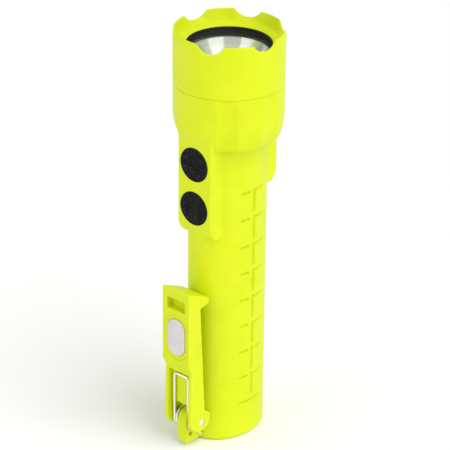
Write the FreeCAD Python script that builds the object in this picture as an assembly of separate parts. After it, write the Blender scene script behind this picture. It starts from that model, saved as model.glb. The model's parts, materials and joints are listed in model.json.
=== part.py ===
import FreeCAD, Part
import math
import os

# Firefighter flashlight: a straight light with an oval handle, a round crenellated bezel,
# two rubber buttons, a floodlight on the back and a sprung magnetic clip on the front.
#
# Frame: millimetres, +Z up along the light's axis, origin at the centre of the flat tail face.
# -Y is the front, where the buttons and the clip are; +Y is the back, where the floodlight is.

Vector = FreeCAD.Vector
X_AXIS = Vector(1, 0, 0)
Y_AXIS = Vector(0, 1, 0)
Z_AXIS = Vector(0, 0, 1)

# ---------------------------------------------------------------- driving dimensions

GAP = 0.3                     # between parts that move past each other
SEAT_GAP = 0.1                # between parts that are fitted into each other
PIN_CLEARANCE = 0.05          # radial, clip ears on the hinge pin
CUT_MARGIN = 1.0              # how far a cutter runs past the shape it cuts
CLOSE = 0.01                  # tolerance for picking edges by where they are

HANDLE_HALF_DEPTH = 20.15     # along Y
HANDLE_HALF_WIDTH = 15.8      # along X
HANDLE_WALL = 2.2
TAIL_FLOOR = 2.6
TAIL_ROUND = 1.8

HEAD_RADIUS = 25.0
HEAD_UNDERSIDE_Z = 147.5
HEAD_UNDERSIDE_RADIUS = 19.5
HEAD_KNEE_RADIUS = 23.1
HEAD_KNEE_Z = 149.7
UNDERSIDE_ARC_POINT = (22.1, 148.5)    # radius and z of a point on the underside's round
BOWL_ARC_POINT = (24.5, 155.75)        # and of one on the bowl above it
HEAD_FULL_Z = 161.0
SHOULDER_Z = 174.7
HEAD_BORE_RADIUS = 20.2
HEAD_BORE_FLOOR_Z = 152.5
FLUTE_ANGLES = (40, 90, 140, 220, 270, 320)
FLUTE_RADIUS = 20.0
FLUTE_DEPTH = 1.0

COLLAR_RADIUS = 22.3
COLLAR_TOP_Z = 182.5
O_RING_THICKNESS = 1.6
O_RING_Z = 177.6

PAD_DEPTH = 22.8              # front and back faces, from the axis
PAD_HALF_WIDTH = 10.0
PAD_CORNER = 1.5
PAD_TOP_Z = 155.0
PAD_WALL = 2.8
PAD_FOOT_BULGE = 0.6          # how far the foot's round stays behind the face at its middle
BUTTON_PAD_FOOT = (105.3, 111.5)   # z where a pad leaves the handle, and where it has its full depth
FLOOD_PAD_FOOT = (122.0, 127.7)

BUTTON_RADIUS = 8.0
BUTTON_RIM = 0.5
BUTTON_TRAVEL = 1.0
BUTTON_Z = {"flashlight": 140.9, "floodlight": 119.6}

RIM_PROUD = 0.3               # of the pad's face
RIM_FLANGE = (0.8, 0.7)       # width and thickness, behind the pad's wall
CAP_EDGE = 0.1                # how far the cap's edge lies behind the pad's face

FLOOD_WALL = 1.9
FLOOD_POCKET_Z = 129.0
FLOOD_POCKET_HALF_WIDTH = 8.6
FLOOD_WINDOW_HALF_WIDTH = 6.5
FLOOD_WINDOW_Z = (131.0, 147.0)
FLOOD_WINDOW_INSET = 0.2
FLOOD_CORNER = 2.0
FLOOD_BOARD_HALF_WIDTH = 7.5
FLOOD_TRAY_HALF_WIDTH = 8.0
FLOOD_TRAY_WALL = 2.0
FLOOD_LED_HALF = 1.5
FLOOD_LED_HEIGHT = 1.0
FLOOD_LED_INSET = 4.0         # end LEDs, from the window's ends
BUTTON_POCKET_Z = 110.5
BUTTON_POCKET_HALF_WIDTH = 9.2

GROOVE_DEPTH = 0.9
GROOVE_WIDTH = 1.7
GROOVE_TOP_Z = 125.5
GROOVE_PITCH = 13.45
GROOVE_COUNT = 8
GROOVE_LENGTH = 9.8
GROOVE_BACK_Y = 7.7
GROOVE_FRONT_Y = (-6.9, -2.9)

BEZEL_TOP_Z = 199.3
BEZEL_CREST_RADIUS = 24.1     # inner edge of the narrow land at the top
BEZEL_MOUTH_RADIUS = 22.7     # foot of the mouth's flared wall
BEZEL_LEDGE_Z = 194.1
BEZEL_LIP_RADIUS = 19.1
BEZEL_LIP_EDGE = 0.4          # height of the lip's upright edge
BEZEL_WALL = 2.4
BEZEL_EDGE_ROUND = 3.0        # height of the round at the top's outer edge
BEZEL_EDGE_INSET = 0.3        # and its depth
BEZEL_EDGE_POINT = (0.08, 1.3)         # of the round's middle, from the full radius and the top
NOTCH_COUNT = 6
NOTCH_CLOCK = 21              # degrees from -Y towards +X, of the first notch
NOTCH_RADIUS = 7.2
NOTCH_DEPTH = 3.7

LENS_TOP_Z = 189.7
LENS_THICKNESS = 1.6
LENS_GASKET_THICKNESS = 2.6
LENS_GASKET_BORE = (17.9, 18.8)   # radius at the lens and at the lip

LED_FOCUS_Z = 171.1
LED_BOARD_Z = 168.4
LED_BOARD_RADIUS = 8.5
LED_BOARD_THICKNESS = 1.5
REFLECTOR_MOUTH_RADIUS = 18.0
REFLECTOR_WALL = 0.9
REFLECTOR_FLANGE = 0.8
REFLECTOR_STEPS = 8
SINK_CLEARANCE = 0.2
SINK_HEIGHT = 5.0
SINK_PEDESTAL_RADIUS = 9.5
SINK_BOSS_RADIUS = 8.0
FIN_GAP = 1.2
FIN_FOOT = 1.4
FIN_DEPTH = 5.0
LED_PACKAGE_HALF = 1.75
LED_PACKAGE_HEIGHT = 0.8
LED_DOME_RADIUS = 1.5
LED_DOME_RISE = 0.6           # dome centre above the LED's board

DRIVER_BOARD_Z = (146.3, 147.9)
DRIVER_BOARD_RADIUS = 12.8
FRAME_HALF_WIDTH = 7.5
FRAME_HALF_DEPTH = 14.2
FRAME_WALL = 1.5
FRAME_FOOT_Z = 113.5
BOARD_THICKNESS = 1.5
BOARD_FACE = 14.4             # inner face of both upright boards, from the axis
BOARD_CLEARANCE = 0.5         # lower end of both upright boards, from their pockets
SWITCH_BOARD_HALF_WIDTH = 8.0
SWITCH_BOARD_TOP_Z = 149.5
FLOOD_BOARD_TOP_Z = 149.0
SWITCH_HALF = 3.1
SWITCH_FACE = 19.2
PLUNGER_RADIUS = 1.75
PLUNGER_FOOT = 17.9
CAP_BACK = 20.5
CAP_CROWN = 0.8

CELL_RADIUS = 7.15
CELL_CAN = 49.2
CELL_NUB = 1.1
CELL_NUB_RADIUS = 2.75
CELL_SPACING = 14.5
CELL_BASE_Z = 7.0
CELL_STEP = 50.4
CARRIER_BASE_Z = (2.8, 4.6)
CARRIER_TOP_Z = (107.9, 109.9)
CARRIER_CLEARANCE = 0.5
CONTACT_RADIUS = 3.0
RAIL_X = (5.4, 9.4)           # carrier rails in the valleys between the cells
RAIL_HALF_DEPTH = 1.9
LEAF_REACH = 4.5
LEAF_PAD = 3.0
LEAF_THICKNESS = 0.4
LEAF_WIDTH = 4.0
PROBE_TIP_RADIUS = 1.0
PROBE_RADIUS = 1.6

HINGE_DEPTH = 25.0            # clip hinge axis, from the light's axis
HINGE_Z = 13.0
PIN_RADIUS = 1.9
KNUCKLE_RADIUS = 5.3          # of its top, round the hinge axis
KNUCKLE_HALF_WIDTH = 2.6
KNUCKLE_FOOT_Z = 1.7
KNUCKLE_FOOT_ROUND = 1.2
KNUCKLE_ROOT = 1.2            # how deep the knuckle is let into the handle's wall
LANYARD_RADIUS = 1.0
LANYARD_DEPTH = 27.2
LANYARD_Z = 5.9

CLIP_HALF_WIDTH = 8.0
CLIP_WALL = 1.8
CLIP_FACE = 34.8              # outer face beside the magnet, from the light's axis
CLIP_LOW_FACE = 32.7
CLIP_PLATE = 3.0
CLIP_SLOT_FLOOR = 1.5
CLIP_TOP_Z = 82.9
CLIP_FACE_Z = (46.0, 81.9)    # the straight upper face
CLIP_LOW_Z = 41.8             # foot of the step between the two faces
CLIP_HEEL = (33.4, 16.5)      # depth and z
CLIP_HEEL_ROUND = (31.0, 11.2)
EAR_BACK = ((19.2, 15.8), (23.4, 19.3))
SIDE_TOP = ((26.7, 73.1), (23.9, 73.6))
CLAW_TIP = (21.0, 74.4)
CLAW_TOP = (21.2, 77.2)
CLAW_BACK = (28.0, 80.3)
CLIP_CROWN = (33.8, 34.6)     # depths where the round at the top starts, and at its middle
CLIP_CROWN_DROP = 0.2         # of its middle, from the top
LOBE_FOOT_Z = 8.9             # under the hinge axis
LOBE_ROUND = (21.3, 10.1)
LOBE_BACK = 19.8              # behind the hinge axis
CHANNEL_BACK = 15.0
CHANNEL_Z = (24.0, 44.5, 48.0)
CHANNEL_HEAD = ((70.3, 71.0), 78.6)    # z of the step behind the window's floor, and of the top
CHANNEL_CLAW = ((24.6, 75.9), (22.5, 70.0))
EAR_SLOT_TOP_Z = 22.2
WINDOW_HALF_WIDTH = 5.35
WINDOW_Z = (72.9, 78.4)
WINDOW_DEPTH = 3.6            # of the recess, from the outer face
WINDOW_FLOOR = 1.9
MAGNET_Z = 58.8
MAGNET_HALF_WIDTH = 5.15
MAGNET_HALF_HEIGHT = 9.3
MAGNET_THICKNESS = 2.0
MAGNET_RECESS_MARGIN = 2.2    # width of the shallow recess round the magnet
MAGNET_RECESS = 0.6           # and its depth
SPRING_SLOT_HALF_WIDTH = 6.1
SPRING_SLOT_Z = (20.0, 40.3)
SPRING_SLOT_DEPTH = 2.8

WIRE_RADIUS = 0.72
BEND_SWELL = 1.02             # balls at the wire's bends, against the wire's radius
COIL_RADIUS = 4.6
COIL_TURNS = 1.25
COIL_PITCH = 1.5
SPRING_FOOT_DEPTH = 20.9      # where the body legs bear on the handle
SPRING_FOOT_Z = 4.0
SPRING_LEG_X = 4.25
SPRING_BEND_Z = 21.0
SPRING_TOP_Z = 37.6

# ---------------------------------------------------------------- derived dimensions

BAY_HALF_DEPTH = HANDLE_HALF_DEPTH - HANDLE_WALL
BAY_HALF_WIDTH = HANDLE_HALF_WIDTH - HANDLE_WALL
POCKET_DEPTH = PAD_DEPTH - PAD_WALL
BUTTON_CAP_RADIUS = BUTTON_RADIUS - BUTTON_RIM - GAP
BEZEL_BORE = HEAD_RADIUS - BEZEL_WALL
O_RING_SEAT = BEZEL_BORE - SEAT_GAP - O_RING_THICKNESS
LENS_Z = LENS_TOP_Z - LENS_THICKNESS
BEZEL_LIP_Z = LENS_TOP_Z + LENS_GASKET_THICKNESS
STACK_RADIUS = BEZEL_BORE - GAP
LED_SEAT_Z = LED_BOARD_Z + LED_BOARD_THICKNESS
MAGNET_BACK = CLIP_FACE - MAGNET_THICKNESS
SPRING_FLOOR = CLIP_LOW_FACE - SPRING_SLOT_DEPTH
WIRE_DEPTH = SPRING_FLOOR + WIRE_RADIUS + SEAT_GAP
COIL_START_X = KNUCKLE_HALF_WIDTH + WIRE_RADIUS + SEAT_GAP
COIL_END_X = COIL_START_X + COIL_PITCH * COIL_TURNS

# ---------------------------------------------------------------- shape helpers


def cylinder(radius, low, high, axis=Z_AXIS, centre=Vector(0, 0, 0)):
    """A cylinder about an axis through centre, from low to high along it."""
    return Part.makeCylinder(radius, high - low, centre + axis * low, axis)


def tube(outer, inner, low, high, axis=Z_AXIS, centre=Vector(0, 0, 0)):
    """A hollow cylinder."""
    return cylinder(outer, low, high, axis, centre).cut(cylinder(inner, low, high, axis, centre))


def box(x_range, y_range, z_range):
    """A box from its three ranges."""
    sizes = [high - low for low, high in (x_range, y_range, z_range)]
    return Part.makeBox(*sizes, Vector(x_range[0], y_range[0], z_range[0]))


def both_ways(half):
    """The range from -half to +half."""
    return (-half, half)


def oval_face(half_x, half_y, z):
    """An ellipse in the XY plane, whichever half axis is the longer."""
    if half_y >= half_x:
        curve = Part.Ellipse(Vector(0, half_y, z), Vector(half_x, 0, z), Vector(0, 0, z))
    else:
        curve = Part.Ellipse(Vector(half_x, 0, z), Vector(0, half_y, z), Vector(0, 0, z))
    return Part.Face(Part.Wire(curve.toShape()))


def oval_prism(half_x, half_y, low, high):
    """An upright elliptical column."""
    return oval_face(half_x, half_y, low).extrude(Z_AXIS * (high - low))


def revolved(edges):
    """A solid of revolution about Z from a closed outline in the XZ plane."""
    return Part.Face(Part.Wire(edges)).revolve(Vector(0, 0, 0), Z_AXIS, 360)


def polyline(points):
    """Straight edges through points given as (x, z)."""
    corners = [Vector(x, 0, z) for x, z in points]
    return [Part.makeLine(a, b) for a, b in zip(corners, corners[1:])]


def arc(start, middle, end):
    """One arc through three points given as (x, z)."""
    corners = [Vector(x, 0, z) for x, z in (start, middle, end)]
    return Part.Arc(*corners).toShape()


def front_point(depth, z, x=0.0):
    """A point at a depth in front of the light's axis, that is towards -Y."""
    return Vector(x, -depth, z)


def front_line(*points):
    """Straight edges through (depth, z) points in the plane x = 0."""
    corners = [front_point(*point) for point in points]
    return [Part.makeLine(a, b) for a, b in zip(corners, corners[1:])]


def front_arc(start, middle, end):
    """One arc through three (depth, z) points in the plane x = 0."""
    return Part.Arc(front_point(*start), front_point(*middle), front_point(*end)).toShape()


def slab(edges, half_width):
    """A closed outline in the plane x = 0, thickened evenly to both sides."""
    face = Part.Face(Part.Wire(edges))
    face.translate(X_AXIS * -half_width)
    return face.extrude(X_AXIS * (2 * half_width))


def stadium(half_width, half_height, z, near, far):
    """An upright prism along Y with round ends, from depth near to depth far."""
    straight = half_height - half_width
    left, right = -half_width, half_width
    low, high = z - straight, z + straight
    edges = [
        Part.makeLine(front_point(near, low, right), front_point(near, high, right)),
        Part.Arc(front_point(near, high, right), front_point(near, high + half_width, 0),
                 front_point(near, high, left)).toShape(),
        Part.makeLine(front_point(near, high, left), front_point(near, low, left)),
        Part.Arc(front_point(near, low, left), front_point(near, low - half_width, 0),
                 front_point(near, low, right)).toShape(),
    ]
    return Part.Face(Part.Wire(edges)).extrude(Y_AXIS * (near - far))


def rod(start, end, radius):
    """A round bar from point to point."""
    return Part.makeCylinder(radius, (end - start).Length, start, end - start)


def bent_wire(points, radius):
    """Round bars through a list of points, with a slightly fuller ball at each of them."""
    pieces = [rod(a, b, radius) for a, b in zip(points, points[1:])]
    pieces += [Part.makeSphere(radius * BEND_SWELL, point) for point in points]
    return pieces[0].multiFuse(pieces[1:])


def coil(radius, pitch, turns, wire_radius):
    """A coil of round wire about Z, starting at (radius, 0, 0)."""
    path = Part.makeHelix(pitch, pitch * turns, radius)
    section = Part.Wire(Part.makeCircle(wire_radius, Vector(radius, 0, 0), Y_AXIS))
    return Part.Wire(path.Edges).makePipeShell([section], True, True)


def angle_from_front(degrees):
    """The direction at an angle from -Y, turning towards +X."""
    turn = math.radians(degrees)
    return Vector(math.sin(turn), -math.cos(turn), 0)


PARTS = {}


def keep(name, shape):
    """Store one finished sub-part under its node name."""
    PARTS[name] = shape


# ---------------------------------------------------------------- body housing


def pad_block(foot_z, full_z):
    """A flat raised block on the front of the handle, sloping back in at its foot."""
    outline = front_line((0, foot_z), (HANDLE_HALF_DEPTH, foot_z))
    outline.append(front_arc((HANDLE_HALF_DEPTH, foot_z),
                             (PAD_DEPTH - PAD_FOOT_BULGE, (foot_z + full_z) / 2),
                             (PAD_DEPTH, full_z)))
    outline += front_line((PAD_DEPTH, full_z), (PAD_DEPTH, PAD_TOP_Z), (0, PAD_TOP_Z), (0, foot_z))
    block = slab(outline, PAD_HALF_WIDTH)
    corners = [
        edge for edge in block.Edges
        if abs(abs(edge.CenterOfMass.x) - PAD_HALF_WIDTH) < CLOSE
        and -edge.CenterOfMass.y > PAD_DEPTH - CLOSE
    ]
    return block.makeFillet(PAD_CORNER, corners)


def head_shell():
    """The solid of the lower head, with its bowl-shaped underside."""
    outline = polyline([(0, SHOULDER_Z), (0, HEAD_UNDERSIDE_Z), (HEAD_UNDERSIDE_RADIUS, HEAD_UNDERSIDE_Z)])
    outline.append(arc((HEAD_UNDERSIDE_RADIUS, HEAD_UNDERSIDE_Z), UNDERSIDE_ARC_POINT,
                       (HEAD_KNEE_RADIUS, HEAD_KNEE_Z)))
    outline.append(arc((HEAD_KNEE_RADIUS, HEAD_KNEE_Z), BOWL_ARC_POINT,
                       (HEAD_RADIUS, HEAD_FULL_Z)))
    outline += polyline([(HEAD_RADIUS, HEAD_FULL_Z), (HEAD_RADIUS, SHOULDER_Z), (0, SHOULDER_Z)])
    return revolved(outline)


def flute_cutters():
    """Round cutters that leave the shallow upright flutes around the head."""
    distance = HEAD_RADIUS - FLUTE_DEPTH + FLUTE_RADIUS
    low, high = HEAD_UNDERSIDE_Z - CUT_MARGIN, SHOULDER_Z + CUT_MARGIN
    return [cylinder(FLUTE_RADIUS, low, high, centre=angle_from_front(angle) * distance)
            for angle in FLUTE_ANGLES]


def grip_grooves():
    """The shallow grooves down both sides of the handle."""
    bars = []
    half = GROOVE_WIDTH / 2
    for index in range(GROOVE_COUNT + 1):
        top = GROOVE_TOP_Z - index * GROOVE_PITCH
        level = (top - half, top + half)
        if index == GROOVE_COUNT:
            bars.append(((GROOVE_FRONT_Y[0], GROOVE_BACK_Y), level))
        else:
            bars.append(((-half, GROOVE_BACK_Y), level))
            bars.append((GROOVE_FRONT_Y, level))
            bars.append(((-half, half), (top - GROOVE_LENGTH, top)))
    reach = HANDLE_HALF_WIDTH + CUT_MARGIN
    boxes = [box((-reach, reach), y_range, z_range) for y_range, z_range in bars]
    low, high = 0, HEAD_UNDERSIDE_Z
    skin = oval_prism(reach, HANDLE_HALF_DEPTH + CUT_MARGIN, low, high)
    core = oval_prism(HANDLE_HALF_WIDTH - GROOVE_DEPTH, HANDLE_HALF_DEPTH - GROOVE_DEPTH, low, high)
    return boxes[0].multiFuse(boxes[1:]).common(skin.cut(core))


def knuckle_finger(root):
    """The outer shape of the clip's hinge knuckle, from the depth of its root outwards."""
    low, high = KNUCKLE_FOOT_Z, HINGE_Z + KNUCKLE_RADIUS
    outer = HINGE_DEPTH + KNUCKLE_RADIUS
    foot_round = KNUCKLE_FOOT_ROUND
    diagonal = math.sqrt(0.5)
    bulge = foot_round * (1 - diagonal)
    outline = front_line((root, low), (outer - foot_round, low))
    outline.append(front_arc((outer - foot_round, low), (outer - bulge, low + bulge),
                             (outer, low + foot_round)))
    outline += front_line((outer, low + foot_round), (outer, HINGE_Z))
    outline.append(front_arc((outer, HINGE_Z),
                             (HINGE_DEPTH + KNUCKLE_RADIUS * diagonal, HINGE_Z + KNUCKLE_RADIUS * diagonal),
                             (HINGE_DEPTH, high)))
    outline += front_line((HINGE_DEPTH, high), (root, high), (root, low))
    return slab(outline, KNUCKLE_HALF_WIDTH)


def make_clip_knuckle():
    """The narrow finger that stands off the front of the tail, let into a pocket in its wall."""
    finger = knuckle_finger(HANDLE_HALF_DEPTH - KNUCKLE_ROOT)
    reach = KNUCKLE_HALF_WIDTH + CUT_MARGIN
    pin_hole = cylinder(PIN_RADIUS, -reach, reach, X_AXIS, front_point(HINGE_DEPTH, HINGE_Z))
    lanyard_hole = cylinder(LANYARD_RADIUS, -reach, reach, X_AXIS,
                            front_point(LANYARD_DEPTH, LANYARD_Z))
    keep("clip_knuckle", finger.cut(pin_hole).cut(lanyard_hole))


def handle_column():
    """The solid oval handle with a rounded tail edge."""
    column = oval_prism(HANDLE_HALF_WIDTH, HANDLE_HALF_DEPTH, 0, PAD_TOP_Z)
    tail_edge = [edge for edge in column.Edges if edge.BoundBox.ZMax < CLOSE]
    return column.makeFillet(TAIL_ROUND, tail_edge)


def body_cavities():
    """Everything hollow in the body: battery bay, board pockets, head bore and openings."""
    bore = HEAD_BORE_FLOOR_Z
    flood_back = PAD_DEPTH - FLOOD_WALL
    return [
        oval_prism(BAY_HALF_WIDTH, BAY_HALF_DEPTH, TAIL_FLOOR, bore),
        box(both_ways(BUTTON_POCKET_HALF_WIDTH), (-POCKET_DEPTH, 0), (BUTTON_POCKET_Z, bore)),
        box(both_ways(FLOOD_POCKET_HALF_WIDTH), (0, flood_back), (FLOOD_POCKET_Z, bore)),
        cylinder(HEAD_BORE_RADIUS, bore, COLLAR_TOP_Z),
        flood_opening(FLOOD_WINDOW_HALF_WIDTH + SEAT_GAP, SEAT_GAP, flood_back - CUT_MARGIN,
                      PAD_DEPTH + CUT_MARGIN),
    ] + [
        cylinder(BUTTON_RADIUS, POCKET_DEPTH - CUT_MARGIN, PAD_DEPTH + CUT_MARGIN, -Y_AXIS,
                 Vector(0, 0, z))
        for z in BUTTON_Z.values()
    ]


def flood_opening(half_width, margin, near_y, far_y):
    """A round-cornered block along Y at the floodlight window."""
    low, high = FLOOD_WINDOW_Z
    block = box((-half_width, half_width), (near_y, far_y), (low - margin, high + margin))
    corners = [edge for edge in block.Edges if edge.BoundBox.YLength > far_y - near_y - CLOSE]
    return block.makeFillet(FLOOD_CORNER, corners)


def make_body_housing():
    """The one-piece moulded body: handle, button pad, floodlight pad and lower head."""
    flood_block = pad_block(*FLOOD_PAD_FOOT).rotate(Vector(0, 0, 0), Z_AXIS, 180)
    collar = cylinder(COLLAR_RADIUS, SHOULDER_Z - CUT_MARGIN, COLLAR_TOP_Z)
    body = handle_column().multiFuse([pad_block(*BUTTON_PAD_FOOT), flood_block, head_shell(), collar])
    groove_low = O_RING_Z - O_RING_THICKNESS / 2
    o_ring_groove = tube(COLLAR_RADIUS + CUT_MARGIN, O_RING_SEAT, groove_low,
                         groove_low + O_RING_THICKNESS)
    knuckle_pocket = knuckle_finger(HANDLE_HALF_DEPTH - KNUCKLE_ROOT)
    cutters = flute_cutters() + body_cavities() + [o_ring_groove, grip_grooves(), knuckle_pocket]
    body = body.cut(cutters)
    keep("body_housing", body.removeSplitter())


# ---------------------------------------------------------------- head: bezel, lens and reflector


def make_bezel():
    """The screw-on bezel with scooped notches round its mouth."""
    foot = SHOULDER_Z + GAP
    rim_radius = HEAD_RADIUS - BEZEL_EDGE_INSET
    round_foot = BEZEL_TOP_Z - BEZEL_EDGE_ROUND
    outline = polyline([
        (rim_radius, BEZEL_TOP_Z), (BEZEL_CREST_RADIUS, BEZEL_TOP_Z),
        (BEZEL_MOUTH_RADIUS, BEZEL_LEDGE_Z), (BEZEL_LIP_RADIUS, BEZEL_LIP_Z + BEZEL_LIP_EDGE),
        (BEZEL_LIP_RADIUS, BEZEL_LIP_Z), (BEZEL_BORE, BEZEL_LIP_Z), (BEZEL_BORE, foot),
        (HEAD_RADIUS, foot), (HEAD_RADIUS, round_foot),
    ])
    inset, drop = BEZEL_EDGE_POINT
    outline.append(arc((HEAD_RADIUS, round_foot), (HEAD_RADIUS - inset, BEZEL_TOP_Z - drop),
                       (rim_radius, BEZEL_TOP_Z)))
    bezel = revolved(outline)
    axis_z = BEZEL_TOP_Z - NOTCH_DEPTH + NOTCH_RADIUS
    notches = [
        cylinder(NOTCH_RADIUS, HEAD_RADIUS / 2, HEAD_RADIUS + CUT_MARGIN,
                 angle_from_front(NOTCH_CLOCK + index * 360 / NOTCH_COUNT), Vector(0, 0, axis_z))
        for index in range(NOTCH_COUNT)
    ]
    keep("bezel", bezel.cut(notches))


def make_lens_stack():
    """The clear lens and the black gasket that the bezel's lip clamps on it."""
    keep("lens", cylinder(STACK_RADIUS, LENS_Z, LENS_TOP_Z))
    low_bore, high_bore = LENS_GASKET_BORE
    ring = [(low_bore, LENS_TOP_Z), (STACK_RADIUS, LENS_TOP_Z), (STACK_RADIUS, BEZEL_LIP_Z),
            (high_bore, BEZEL_LIP_Z), (low_bore, LENS_TOP_Z)]
    keep("lens_gasket", revolved(polyline(ring)))


def make_bezel_o_ring():
    """The O-ring that seals the bezel on the body's collar."""
    section = O_RING_THICKNESS / 2
    keep("bezel_o_ring", Part.makeTorus(O_RING_SEAT + section, section, Vector(0, 0, O_RING_Z)))


def parabolic_bowl(focal, low, high, offset):
    """A solid bowl about Z whose side is a parabola with its focus in the LED, moved outwards."""
    vertex_z = LED_FOCUS_Z - focal
    foot_radius = math.sqrt(4 * focal * (low - vertex_z))
    stride = (REFLECTOR_MOUTH_RADIUS - foot_radius) / REFLECTOR_STEPS
    radii = [foot_radius + stride * index for index in range(REFLECTOR_STEPS + 1)]
    points = [Vector(radius + offset, 0, vertex_z + radius ** 2 / (4 * focal)) for radius in radii]
    side = Part.BSplineCurve()
    side.interpolate(points)
    corners = [points[-1], Vector(0, 0, high), Vector(0, 0, low), points[0]]
    edges = [side.toShape()] + [Part.makeLine(a, b) for a, b in zip(corners, corners[1:])]
    return revolved(edges)


def make_reflector():
    """A parabolic reflector cup whose flat rim carries the lens and whose skirt stands on the collar."""
    mouth_z = LENS_Z - SEAT_GAP
    rise = mouth_z - LED_FOCUS_Z
    focal = (math.hypot(rise, REFLECTOR_MOUTH_RADIUS) - rise) / 2
    foot_z = LED_SEAT_Z + SEAT_GAP
    outer = STACK_RADIUS - GAP
    cup = parabolic_bowl(focal, foot_z, mouth_z, REFLECTOR_WALL)
    rim = cylinder(outer, mouth_z - REFLECTOR_FLANGE, mouth_z)
    skirt = tube(outer, outer - REFLECTOR_WALL, COLLAR_TOP_Z, mouth_z - REFLECTOR_FLANGE)
    hollow = parabolic_bowl(focal, foot_z, mouth_z, 0)
    keep("reflector", cup.multiFuse([rim, skirt]).cut(hollow).removeSplitter())


def make_lamp():
    """The LED, its round board and the aluminium heat sink that carries it."""
    sink_radius = HEAD_BORE_RADIUS - SINK_CLEARANCE
    sink_floor = HEAD_BORE_FLOOR_Z + SEAT_GAP
    fin_top = sink_floor + SINK_HEIGHT
    sink = cylinder(sink_radius, sink_floor, fin_top).fuse(
        cylinder(SINK_PEDESTAL_RADIUS, fin_top, LED_BOARD_Z))
    sink = sink.fuse(cylinder(SINK_BOSS_RADIUS, DRIVER_BOARD_Z[1] + SEAT_GAP, sink_floor))
    for level in (sink_floor + FIN_FOOT, sink_floor + FIN_FOOT + 2 * FIN_GAP):
        sink = sink.cut(tube(sink_radius + CUT_MARGIN, sink_radius - FIN_DEPTH, level,
                             level + FIN_GAP))
    keep("heat_sink", sink.removeSplitter())
    keep("led_board", cylinder(LED_BOARD_RADIUS, LED_BOARD_Z, LED_SEAT_Z))
    package = box(both_ways(LED_PACKAGE_HALF), both_ways(LED_PACKAGE_HALF),
                  (LED_SEAT_Z, LED_SEAT_Z + LED_PACKAGE_HEIGHT))
    dome_z = LED_SEAT_Z + LED_DOME_RISE
    dome = Part.makeSphere(LED_DOME_RADIUS, Vector(0, 0, dome_z))
    dome = dome.common(cylinder(LED_DOME_RADIUS, dome_z, dome_z + LED_DOME_RADIUS))
    keep("led_emitter", package.fuse(dome))


# ---------------------------------------------------------------- electronics module


def make_module_frame():
    """The moulded frame that carries the boards in the neck."""
    top = DRIVER_BOARD_Z[0] - SEAT_GAP
    block = box(both_ways(FRAME_HALF_WIDTH), both_ways(FRAME_HALF_DEPTH), (FRAME_FOOT_Z, top))
    window = box(both_ways(FRAME_HALF_WIDTH - FRAME_WALL), both_ways(FRAME_HALF_DEPTH + CUT_MARGIN),
                 (FRAME_FOOT_Z + 2 * FRAME_WALL, top - FRAME_WALL))
    keep("module_frame", block.cut(window))
    keep("driver_board", cylinder(DRIVER_BOARD_RADIUS, *DRIVER_BOARD_Z))


def make_switches():
    """The switch board with its two tactile switches and their plungers."""
    face = BOARD_FACE + BOARD_THICKNESS
    keep("switch_board", box(both_ways(SWITCH_BOARD_HALF_WIDTH), (-face, -BOARD_FACE),
                             (BUTTON_POCKET_Z + BOARD_CLEARANCE, SWITCH_BOARD_TOP_Z)))
    for name, z in BUTTON_Z.items():
        centre = Vector(0, 0, z)
        body = box(both_ways(SWITCH_HALF), (-SWITCH_FACE, -face), (z - SWITCH_HALF, z + SWITCH_HALF))
        well = cylinder(PLUNGER_RADIUS + SEAT_GAP, PLUNGER_FOOT - BUTTON_TRAVEL - SEAT_GAP,
                        SWITCH_FACE + CUT_MARGIN, -Y_AXIS, centre)
        keep(name + "_switch", body.cut(well))
        keep(name + "_plunger", cylinder(PLUNGER_RADIUS, PLUNGER_FOOT, CAP_BACK, -Y_AXIS, centre))


def make_buttons():
    """The two rubber button caps, each in its own rubber rim pressed into the pad."""
    for name, z in BUTTON_Z.items():
        centre = Vector(0, 0, z)
        edge = PAD_DEPTH - CAP_EDGE
        sphere_radius = (BUTTON_CAP_RADIUS ** 2 + CAP_CROWN ** 2) / (2 * CAP_CROWN)
        sphere = Part.makeSphere(sphere_radius, front_point(edge + CAP_CROWN - sphere_radius, z))
        blank = cylinder(BUTTON_CAP_RADIUS, CAP_BACK, edge + CAP_CROWN + CUT_MARGIN, -Y_AXIS, centre)
        keep(name + "_button", blank.common(sphere))
        rim_bore = BUTTON_RADIUS - BUTTON_RIM
        flange_width, flange_thickness = RIM_FLANGE
        rim = tube(BUTTON_RADIUS, rim_bore, POCKET_DEPTH, PAD_DEPTH + RIM_PROUD, -Y_AXIS, centre)
        flange = tube(BUTTON_RADIUS + flange_width, rim_bore, POCKET_DEPTH - flange_thickness,
                      POCKET_DEPTH, -Y_AXIS, centre)
        keep(name + "_button_rim", rim.fuse(flange).removeSplitter())


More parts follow.
